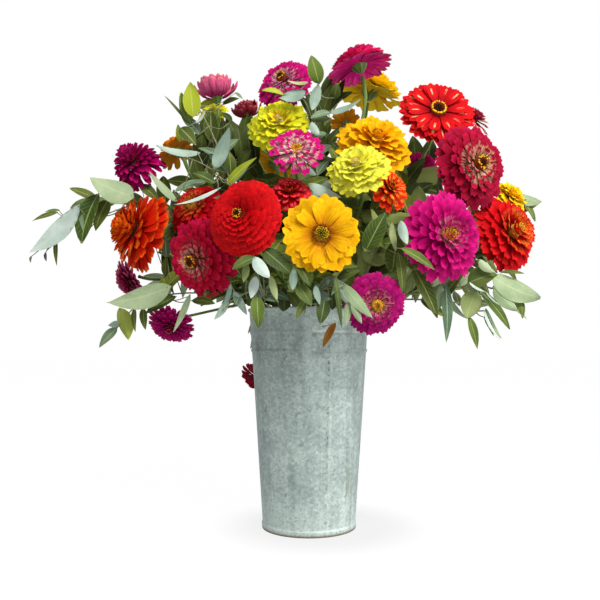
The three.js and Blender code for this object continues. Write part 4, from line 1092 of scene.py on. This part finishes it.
# Each tone's upper side, underside and veins, dark to light.
TONES = {
    "sage": (((0.13, 0.19, 0.06), (0.30, 0.37, 0.15)), ((0.23, 0.32, 0.16), (0.43, 0.53, 0.31)),
             (0.58, 0.64, 0.36)),
    "grey": (((0.06, 0.12, 0.06), (0.20, 0.29, 0.16)), ((0.24, 0.35, 0.27), (0.50, 0.64, 0.53)),
             (0.46, 0.54, 0.36)),
    "silver": (((0.30, 0.40, 0.30), (0.50, 0.62, 0.50)), ((0.50, 0.62, 0.54), (0.76, 0.86, 0.78)),
               (0.70, 0.78, 0.66)),
    "deep": (((0.035, 0.065, 0.012), (0.11, 0.16, 0.03)), ((0.10, 0.15, 0.05), (0.20, 0.28, 0.10)),
             (0.26, 0.34, 0.11)),
    "olive": (((0.05, 0.085, 0.008), (0.16, 0.20, 0.03)), ((0.26, 0.33, 0.11), (0.50, 0.58, 0.26)),
              (0.44, 0.48, 0.18)),
    "green": (((0.04, 0.08, 0.01), (0.13, 0.195, 0.025)), ((0.24, 0.31, 0.08), (0.42, 0.50, 0.16)),
              (0.38, 0.46, 0.14)),
    "young": (((0.28, 0.35, 0.01), (0.42, 0.50, 0.02)), ((0.36, 0.43, 0.06), (0.52, 0.58, 0.12)),
              (0.56, 0.60, 0.18)),
    # Painted shade: the dark tone makes nearly black leaves for the bunch's deep gaps.
    "dark": (((0.012, 0.022, 0.003), (0.07, 0.10, 0.012)), ((0.05, 0.07, 0.015), (0.12, 0.15, 0.04)),
             (0.16, 0.20, 0.05)),
    "dry": (((0.28, 0.09, 0.008), (0.58, 0.28, 0.03)), ((0.30, 0.12, 0.02), (0.55, 0.30, 0.08)),
            (0.16, 0.05, 0.01)),
}
# Leaves that stand out at the front, each set singly: tone, the side that looks out (1 upper, -1
# under), x, y, z of root and tip, and half width, in millimetres. A thin stalk joins each to the
# nearest stem.
# The dark leaves are painted shade: nearly black sheets that fill the gaps where the bunch lies in shade.
SINGLE_LEAVES = {
    "spray_left_high": [
        ("sage", -1, -251, -80, 493, -312, -86, 520, 21), ("green", 1, -307, -62, 502, -328, -68, 426, 17),
        ("silver", -1, -327, -80, 483, -401, -86, 414, 18), ("olive", 1, -350, -46, 453, -385, -52, 417, 8),
        ("olive", 1, -312, -50, 494, -351, -56, 509, 7.5), ("olive", 1, -372, -45, 477, -408, -51, 462, 4.5),
        ("grey", 1, -332, -66, 482, -325, -72, 442, 3.6), ("olive", 1, -371, -58, 438, -367, -64, 395, 3.5),
        ("grey", 1, -386, -58, 416, -382, -64, 401, 2.5), ("grey", 1, -404, -66, 409, -402, -72, 398, 2),
        ("olive", 1, -295, -55, 493, -311, -61, 445, 12), ("green", 1, -361, -70, 475, -380, -76, 471, 2.4),
    ],
    "spray_left_low": [
        ("sage", -1, -189, -124, 361, -277, -130, 340, 18), ("green", 1, -187, -92, 349, -230, -98, 323, 8.5),
        ("young", -1, -268, -96, 333, -254, -102, 287, 11), ("olive", 1, -247, -92, 332, -244, -98, 298, 4.3),
        ("olive", 1, -235, -92, 332, -230, -98, 301, 5.7), ("grey", 1, -272, -92, 304, -295, -98, 276, 8),
        ("grey", -1, -268, -90, 312, -284, -96, 308, 5.7), ("sage", -1, -165, -112, 351, -188, -118, 298, 5),
        ("green", 1, -165, -100, 343, -131, -106, 337, 7), ("grey", 1, -212, -40, 409, -211, -46, 441, 7),
        ("dark", 1, -213, -40, 381, -209, -46, 413, 6), ("olive", 1, -259, -10, 526, -230, -16, 500, 9),
        ("dark", 1, -231, -10, 492, -224, -16, 439, 10),
    ],
    "spray_front_left": [
        ("silver", -1, -69, -208, 391, -49, -214, 365, 9), ("deep", 1, -70, -190, 392, -97, -196, 376, 7.7),
        ("deep", 1, -60, -186, 404, -22, -192, 370, 11.5),
        ("silver", -1, -68, -190, 369, -74, -196, 340, 6.4), ("green", 1, -67, -186, 343, -64, -192, 301, 9),
        ("grey", -1, -103, -160, 362, -114, -166, 327, 4),
        ("grey", -1, -107, -160, 340, -125, -166, 314, 5.3),
        ("grey", -1, -99, -170, 351, -81, -176, 320, 5.2), ("olive", -1, -80, -185, 387, -84, -191, 361, 5),
        ("olive", -1, -50, -180, 371, -41, -186, 338, 5), ("dark", 1, -86, -150, 350, -85, -156, 366, 4),
        ("dark", 1, -79, -150, 332, -80, -156, 344, 4.5), ("dark", 1, -34, -130, 326, -35, -136, 359, 8.5),
        ("dark", 1, -42, -60, 410, -41, -66, 438, 11),
    ],
    "spray_front_right": [
        ("grey", -1, -19, -196, 378, -21, -202, 350, 5.7), ("deep", 1, -14, -190, 386, 1, -196, 355, 8.3),
        ("deep", 1, -15, -184, 359, 3, -190, 330, 9), ("grey", -1, 8, -190, 357, 14, -196, 332, 4.5),
        ("deep", 1, 20, -186, 338, 14, -192, 307, 9), ("olive", 1, -4, -178, 339, -17, -184, 314, 5.2),
        ("deep", 1, 33, -190, 370, 41, -196, 301, 3.6), ("sage", -1, 43, -206, 357, 80, -212, 315, 8.2),
        ("sage", -1, 54, -204, 336, 66, -210, 308, 5), ("sage", -1, 51, -200, 337, 47, -206, 305, 5),
        ("dry", 1, 38, -97, 312, 20, -100, 276, 5.5), ("dark", 1, -13, -150, 332, -29, -156, 350, 8),
        ("dark", 1, 31, -150, 327, 31, -156, 357, 5.5), ("dark", 1, 35, -176, 365, 66, -182, 376, 8),
        ("dark", 1, 70, -80, 389, 71, -86, 414, 8),
    ],
    "spray_right_mid": [
        ("dark", 1, 134, 10, 506, 181, 6, 568, 14.1), ("dark", 1, 147, -10, 502, 189, -14, 525, 12.3),
        ("olive", 1, 106, -40, 436, 94, -44, 496, 11.9), ("olive", 1, 112, -50, 402, 137, -54, 472, 13.3),
        ("dark", 1, 63, -60, 367, 42, -64, 411, 11.7), ("dark", 1, 82, -60, 375, 133, -64, 401, 11.7),
        ("green", 1, 114, -212, 402, 155, -218, 373, 6.2), ("grey", -1, 120, -172, 443, 128, -178, 411, 6.5),
        ("green", 1, 76, -140, 406, 103, -146, 458, 13.5), ("olive", 1, 121, -135, 406, 125, -141, 350, 7),
        ("olive", -1, 111, -150, 444, 116, -156, 406, 5.3), ("dark", 1, 176, 70, 573, 169, 64, 621, 14),
        ("dark", 1, 194, 70, 570, 200, 64, 618, 14), ("green", 1, 152, 40, 582, 169, 34, 604, 5),
    ],
    "spray_right_drop": [
        ("olive", 1, 145, -112, 387, 176, -118, 317, 11), ("sage", -1, 181, -118, 364, 172, -124, 325, 11),
        ("grey", 1, 189, -114, 366, 188, -120, 283, 8), ("olive", -1, 231, -116, 356, 217, -122, 317, 15),
        ("green", 1, 222, -112, 320, 232, -118, 274, 6), ("green", 1, 238, -112, 355, 276, -118, 301, 8),
        ("sage", -1, 245, -114, 331, 266, -120, 290, 4.9), ("olive", 1, 244, -110, 320, 255, -116, 292, 4.2),
        ("silver", -1, 220, -122, 367, 241, -128, 354, 2.8),
        ("silver", -1, 242, -122, 355, 264, -128, 334, 1.3), ("sage", -1, 190, -112, 365, 173, -118, 327, 8),
        ("silver", -1, 240, -124, 329, 262, -130, 288, 3),
    ],
    "spray_right_out": [
        ("sage", -1, 259, -90, 378, 328, -96, 348, 21), ("sage", -1, 290, -84, 358, 311, -90, 317, 8.6),
        ("deep", 1, 223, -98, 366, 265, -104, 378, 15), ("green", 1, 276, -74, 385, 308, -80, 382, 3.6),
        ("sage", -1, 236, -112, 399, 258, -118, 381, 6.5), ("sage", -1, 262, -94, 362, 293, -100, 329, 12),
        ("green", 1, 302, -80, 348, 304, -86, 317, 5),
    ],
    "spray_right_high": [
        ("sage", -1, 321, 20, 520, 363, 14, 505, 14), ("olive", 1, 330, 24, 515, 354, 18, 473, 9.5),
    ],
    "spray_left_top": [
        ("dark", 1, -79, -20, 551, -87, -24, 627, 7.6), ("dark", 1, -175, 0, 541, -147, -4, 581, 10.8),
        ("dark", 1, -147, 0, 519, -113, -4, 553, 10.8), ("dark", 1, -93, 20, 563, -131, 16, 637, 14.2),
        ("dark", 1, -109, 20, 571, -93, 16, 653, 9.5), ("dark", 1, -173, 30, 565, -161, 26, 640, 12.7),
        ("dark", 1, -161, 0, 519, -184, -4, 584, 10.8), ("young", 1, -168, -66, 611, -172, -72, 659, 13),
        ("green", 1, -173, -60, 604, -185, -66, 647, 6.5), ("olive", 1, -175, -56, 603, -211, -62, 643, 2.2),
        ("grey", -1, -135, -90, 530, -113, -96, 587, 10.7), ("grey", -1, -157, -74, 557, -219, -80, 568, 7.4),
        ("young", 1, -115, -100, 506, -73, -106, 541, 7),
        ("silver", -1, -121, -122, 497, -187, -128, 474, 3.6),
        ("sage", -1, -189, -84, 485, -227, -90, 527, 6), ("grey", 1, -149, -70, 516, -193, -76, 499, 8.7),
        ("olive", 1, -189, -60, 597, -164, -66, 569, 10), ("silver", -1, -166, -64, 603, -151, -70, 620, 3.6),
        ("young", 1, -192, -40, 582, -194, -46, 607, 5), ("grey", 1, -161, -50, 591, -185, -56, 614, 8),
        ("dark", 1, -163, -20, 574, -160, -26, 598, 8.5), ("olive", 1, -113, -70, 526, -115, -76, 559, 8.5),
        ("dark", 1, -103, -40, 546, -84, -46, 569, 8.5), ("green", 1, -134, -84, 511, -166, -90, 524, 7.5),
        ("olive", 1, -150, 0, 593, -152, -6, 644, 11.5), ("dark", 1, -120, 10, 629, -139, 4, 640, 5),
        ("dark", 1, -103, 10, 565, -113, 4, 622, 12), ("dark", 1, -89, 10, 568, -96, 4, 621, 10),
        ("young", 1, -173, 20, 653, -143, 14, 662, 9), ("dark", 1, -138, 30, 661, -109, 24, 668, 5),
        ("grey", 1, -113, -10, 667, -101, -16, 654, 2.5), ("green", 1, -177, -40, 603, -191, -46, 652, 9),
        ("dark", 1, -151, 20, 577, -133, 14, 629, 11), ("dark", 1, -162, 20, 586, -155, 14, 625, 11),
        ("dark", 1, -114, 40, 566, -121, 34, 606, 9), ("dark", 1, -134, 50, 611, -140, 44, 644, 8),
        ("dark", 1, -150, 20, 542, -157, 14, 569, 7),
    ],
    "spray_top_centre": [
        ("dark", 1, 14, 30, 637, -16, 26, 673, 9.5), ("dark", 1, 17, 30, 570, 52, 26, 624, 11.1),
        ("dark", 1, 21, 50, 656, 70, 46, 685, 9.7), ("dark", 1, 21, 40, 672, 37, 36, 714, 8),
        ("dark", 1, 14, 30, 621, 40, 26, 694, 11.1), ("dark", 1, 14, 20, 610, -5, 16, 678, 9.5),
        ("dark", 1, 5, 20, 555, 20, 16, 637, 14.2), ("dark", 1, -14, 0, 535, 42, -4, 565, 13.9),
        ("dark", 1, 34, 42, 653, 58, 38, 705, 8), ("dark", 1, -72, -10, 529, -112, -14, 578, 12.3),
        ("dark", 1, 32, -10, 517, 20, -14, 566, 12.3), ("dark", 1, -38, -60, 401, -44, -64, 439, 11.7),
        ("green", 1, 15, -52, 664, 3, -58, 704, 11.6), ("grey", -1, -4, -86, 643, -43, -92, 631, 11.4),
        ("young", 1, -36, -88, 636, -67, -94, 639, 5), ("grey", -1, 14, -84, 652, 4, -90, 614, 8),
        ("grey", -1, 29, -80, 613, 73, -86, 632, 7.2), ("grey", 1, 29, -80, 614, 3, -86, 603, 7.2),
        ("grey", -1, 3, -96, 595, 14, -102, 575, 6.4), ("grey", -1, -1, -128, 501, 45, -134, 481, 8.2),
        ("olive", -1, -1, -88, 654, -30, -94, 655, 3.8), ("dark", 1, 31, -60, 612, 0, -66, 605, 7.5),
        ("dark", 1, 38, -30, 650, 42, -36, 672, 8), ("dark", 1, 28, 0, 606, 32, -6, 624, 6),
        ("dark", 1, -64, -50, 378, -69, -56, 404, 6),
    ],
}
STALK_RADIUS = 0.7
STALK_SIDES = 5
# How much of a spray's end carries no paired leaves, in millimetres, because single ones stand there.
BARE_END = {"spray_left_high": 85, "spray_left_low": 230, "spray_right_out": 50, "spray_right_drop": 60,
            "spray_left_top": 70, "spray_top_centre": 60}
# The lowest that the paired leaves of a spray hang, in millimetres over the ground.
LOWEST_TIP = {"spray_left_high": 405, "spray_left_low": 296, "spray_right_drop": 306,
              "spray_right_out": 306, "spray_front_left": 326, "spray_front_right": 326,
              "spray_right_mid": 340, "spray_back_low": 330, "spray_back_left": 345,
              "spray_back_right": 345}


def bark_finish():
    """Young wood: pale brown-green with fine lengthwise grain."""
    bark = Finish("spray_bark", Specular_IOR_Level=0.3)
    grain = bark.noise(bark.stretched(bark.place(), (1, 1, 0.25)), 420, 3)
    bark.relief(grain, 0.0003, 0.6)
    return bark.done(bark.ramp(grain, [(0.3, (0.16, 0.17, 0.07)), (0.7, (0.40, 0.42, 0.24))]),
                     0.5 + 0.3 * grain)


def single_leaves(name, carriers, draw):
    """The singly set leaves of a spray, each on a stalk that leaves the nearest point of the carriers.
    The stalk's middle lies a tenth of its length lower than a straight line."""
    parts = []
    stems = np.vstack(carriers)
    for tone, side, *ends, half in SINGLE_LEAVES.get(name, []):
        root, tip = np.array(ends, float).reshape(2, 3)
        start = stems[np.argmin(np.linalg.norm(stems - root, axis=1))]
        middle = (start + root) / 2 - (0, 0, 0.1 * np.linalg.norm(root - start))
        stalk = smooth_way([start, middle, root + 0.06 * (tip - root)], [4, 4])
        parts.append(tube(stalk * MM, np.linspace(1.3, 0.8, 9) * STALK_RADIUS * MM, STALK_SIDES,
                          len(TONES)))
        heading = unit(tip - root)
        look = outlook(root[None])[0] * (0.4, 1, 1) + 0.35 * (draw.random(3) - 0.5)
        face = side * unit(look - look @ heading * heading)
        arch = 0.15 + 0.25 * draw.random()
        parts.append(grow(
            blade_grid(LEAF_ROWS + 1, LEAF_COLUMNS), leaf_outline, root[None] * MM, heading[None],
            face[None], 1.02 * np.linalg.norm(tip - root) * MM, half * MM, arch, -2 * arch,
            0.05 + 0.35 * draw.random(), 0.12, 0, LEAF_THICK * MM, draw.random(), 0,
            list(TONES).index(tone)))
    return parts


def spray_parts(spray, draw):
    """A spray's stem with its arms, which taper to half, and its leaves, which get smaller outwards.
    Where the end is bare, the arms carry only single leaves too."""
    name, tone, bearing, length, half, points, arms = spray
    shade = list(TONES).index(tone)
    lowest, bare = LOWEST_TIP.get(name, 0), BARE_END.get(name, 0)
    turn = math.radians(bearing)
    low, mouth = ((radius * math.cos(turn), radius * math.sin(turn), height) for radius, height in (
        (SPRAY_FOOT_RADIUS, FOOT_HEIGHT), (SPRAY_MOUTH_RADIUS, SPRAY_MOUTH_HEIGHT)))
    main = smooth_way([low, mouth, *points], [6] * (len(points) + 1))
    runs = [(main, SPRAY_STEM_RADIUS, main[LEAFY_FROM:])]
    for start, *rest in arms:
        arm = smooth_way([points[start - 1], *rest], [6] * len(rest))
        runs.append((arm, ARM_SHARE * SPRAY_STEM_RADIUS, arm))
    parts = []
    for way, thick, leafy in runs:
        taper = thick * np.linspace(1, 0.5, len(way))
        parts.append(tube(way * MM, taper * MM, SPRAY_SIDES, len(TONES)))
        if bare and thick < SPRAY_STEM_RADIUS:
            continue
        root, ahead, side, far = pairs_along(leafy, SPRAY_SPACING, SPRAY_FIRST_PAIR, draw, bare)
        count = len(root)
        size = (0.8 + 0.35 * draw.random(count)) * (1 - 0.3 * far)
        parts.append(leaves_on(root, ahead, side, 0.6 + 0.5 * draw.random(count), length * size,
                               half * size, 0.25 * draw.random(count), 0.4, draw, shade, lowest))
        if bare:
            continue
        parts.append(leaves_on(way[-1:], unit(way[-1:] - way[-2:-1]), side[-1:], 0.1, 0.8 * length,
                               0.8 * half, 0.15, 0.4, draw, shade, lowest))
    return parts + single_leaves(name, [way for way, _, _ in runs], draw)


foliage = [leaf_finish(tone + "_leaf", *TONES[tone]) for tone in TONES] + [bark_finish()]
for number, spray in enumerate(SPRAYS):
    name, tone = spray[:2]
    parts = spray_parts(spray, np.random.default_rng(SPRAY_SEED + number))
    keep(name + "_foliage", parts, "leaf_" + tone, name, foliage)

# The stage: a white floor with a painted shadow round the bucket's foot, that runs into a white
# backdrop, soft light from all round and above, and a level camera at the height and distance of the
# photograph.
CAMERA_DISTANCE = 1100 * MM
CAMERA_HEIGHT = 285 * MM
CAMERA_LENS = 42.66
CAMERA_SHIFT = (-0.015, 0.069)
FLOOR_REACH = 12
ROOM_RADIUS = 11
ROOM_SIDES = 24
# The floor's painted shadow: how far its middle lies to the right, and its outer and inner radii.
SHADOW_PATCH_ASIDE = 20 * MM
SHADOW_PATCH_RADII = (190 * MM, 80 * MM)


def area_lamp(name, place, aim, size, watts, colour):
    """A soft rectangular lamp at a place that looks at an aim."""
    lamp = bpy.data.lights.new(name, "AREA")
    lamp.shape = "RECTANGLE"
    lamp.size, lamp.size_y = size
    lamp.energy = watts
    lamp.color = colour
    holder = bpy.data.objects.new(name, lamp)
    holder.location = place
    holder.rotation_euler = Vector(np.subtract(aim, place)).to_track_quat("-Z", "Y").to_euler()
    bpy.context.scene.collection.objects.link(holder)


def stage_piece(name, points, faces, glow, shade, paint):
    """A white surface behind or under the bouquet, which sends no light back to it. It glows as much
    as glow, less by shade in a soft round patch at the bucket's foot: a painted shadow."""
    mesh = bpy.data.meshes.new(name)
    mesh.from_pydata(points, [], faces)
    paper = Finish(name, Roughness=1.0, Specular_IOR_Level=0.0, Emission_Strength=1.0)
    x, y, _ = paper.parts(paper.place())
    x = x - SHADOW_PATCH_ASIDE
    white = glow - shade * paper.step(paper.maths("SQRT", x * x + y * y), *SHADOW_PATCH_RADII)
    paper.feed(paper.shader.inputs["Emission Color"], paper.vector(white, white, white))
    soft = paper.noise(paper.place(), 3, 2)
    tones = [(0.3, (paint,) * 3), (0.7, (1.02 * paint,) * 3)]
    mesh.materials.append(paper.done(paper.ramp(soft, tones)))
    piece = bpy.data.objects.new(name, mesh)
    piece.visible_diffuse = False
    piece.visible_glossy = False
    bpy.context.scene.collection.objects.link(piece)
    return piece


def room_points(radius, sides):
    """The corners of a prism round the bouquet, as high as it is wide from the middle."""
    angle = np.arange(sides) * 2 * math.pi / sides
    ring = np.stack([radius * np.cos(angle), radius * np.sin(angle), 0 * angle], -1)
    return np.vstack([ring, ring + (0, 0, radius)])


floor = [(x * FLOOR_REACH, y * FLOOR_REACH, 0) for x, y in ((-1, -1), (1, -1), (1, 1), (-1, 1))]
# The floor glows evenly, less 0.13 in its painted shadow.
stage_piece("white_floor", floor, [(0, 1, 2, 3)], 0.97, 0.13, 0.05)
ring = np.arange(ROOM_SIDES)
after = (ring + 1) % ROOM_SIDES
walls = np.stack([after, ring, ring + ROOM_SIDES, after + ROOM_SIDES], -1).tolist()
backdrop = stage_piece("white_backdrop", room_points(ROOM_RADIUS, ROOM_SIDES),
                       [*walls, (ring[::-1] + ROOM_SIDES).tolist()], 1.0, 0.0, 0.0)
backdrop.visible_shadow = False

world = bpy.data.worlds.new("soft_room")
world.use_nodes = True
world.node_tree.nodes["Background"].inputs["Color"].default_value = (0.96, 0.98, 1, 1)
world.node_tree.nodes["Background"].inputs["Strength"].default_value = 0.45
bpy.context.scene.world = world
area_lamp("key", (0.7, -1.5, 2.0), (0, 0, 0.45), (0.9, 0.9), 42, (1.0, 0.98, 0.95))
area_lamp("low_fill", (-0.3, -1.5, 0.12), (0, 0, 0.5), (1.6, 0.3), 1.6, (1.0, 1.0, 1.0))
area_lamp("side", (1.3, -0.45, 0.5), (0, 0, 0.3), (0.35, 1.2), 9, (1.0, 1.0, 1.0))
bpy.context.scene.view_settings.view_transform = "Standard"

camera = bpy.data.cameras.new("camera")
camera.lens = CAMERA_LENS
camera.shift_x, camera.shift_y = CAMERA_SHIFT
holder = bpy.data.objects.new("camera", camera)
holder.location = (0, -CAMERA_DISTANCE, CAMERA_HEIGHT)
holder.rotation_euler = (0.5 * math.pi, 0, 0)
bpy.context.scene.collection.objects.link(holder)
bpy.context.scene.camera = holder
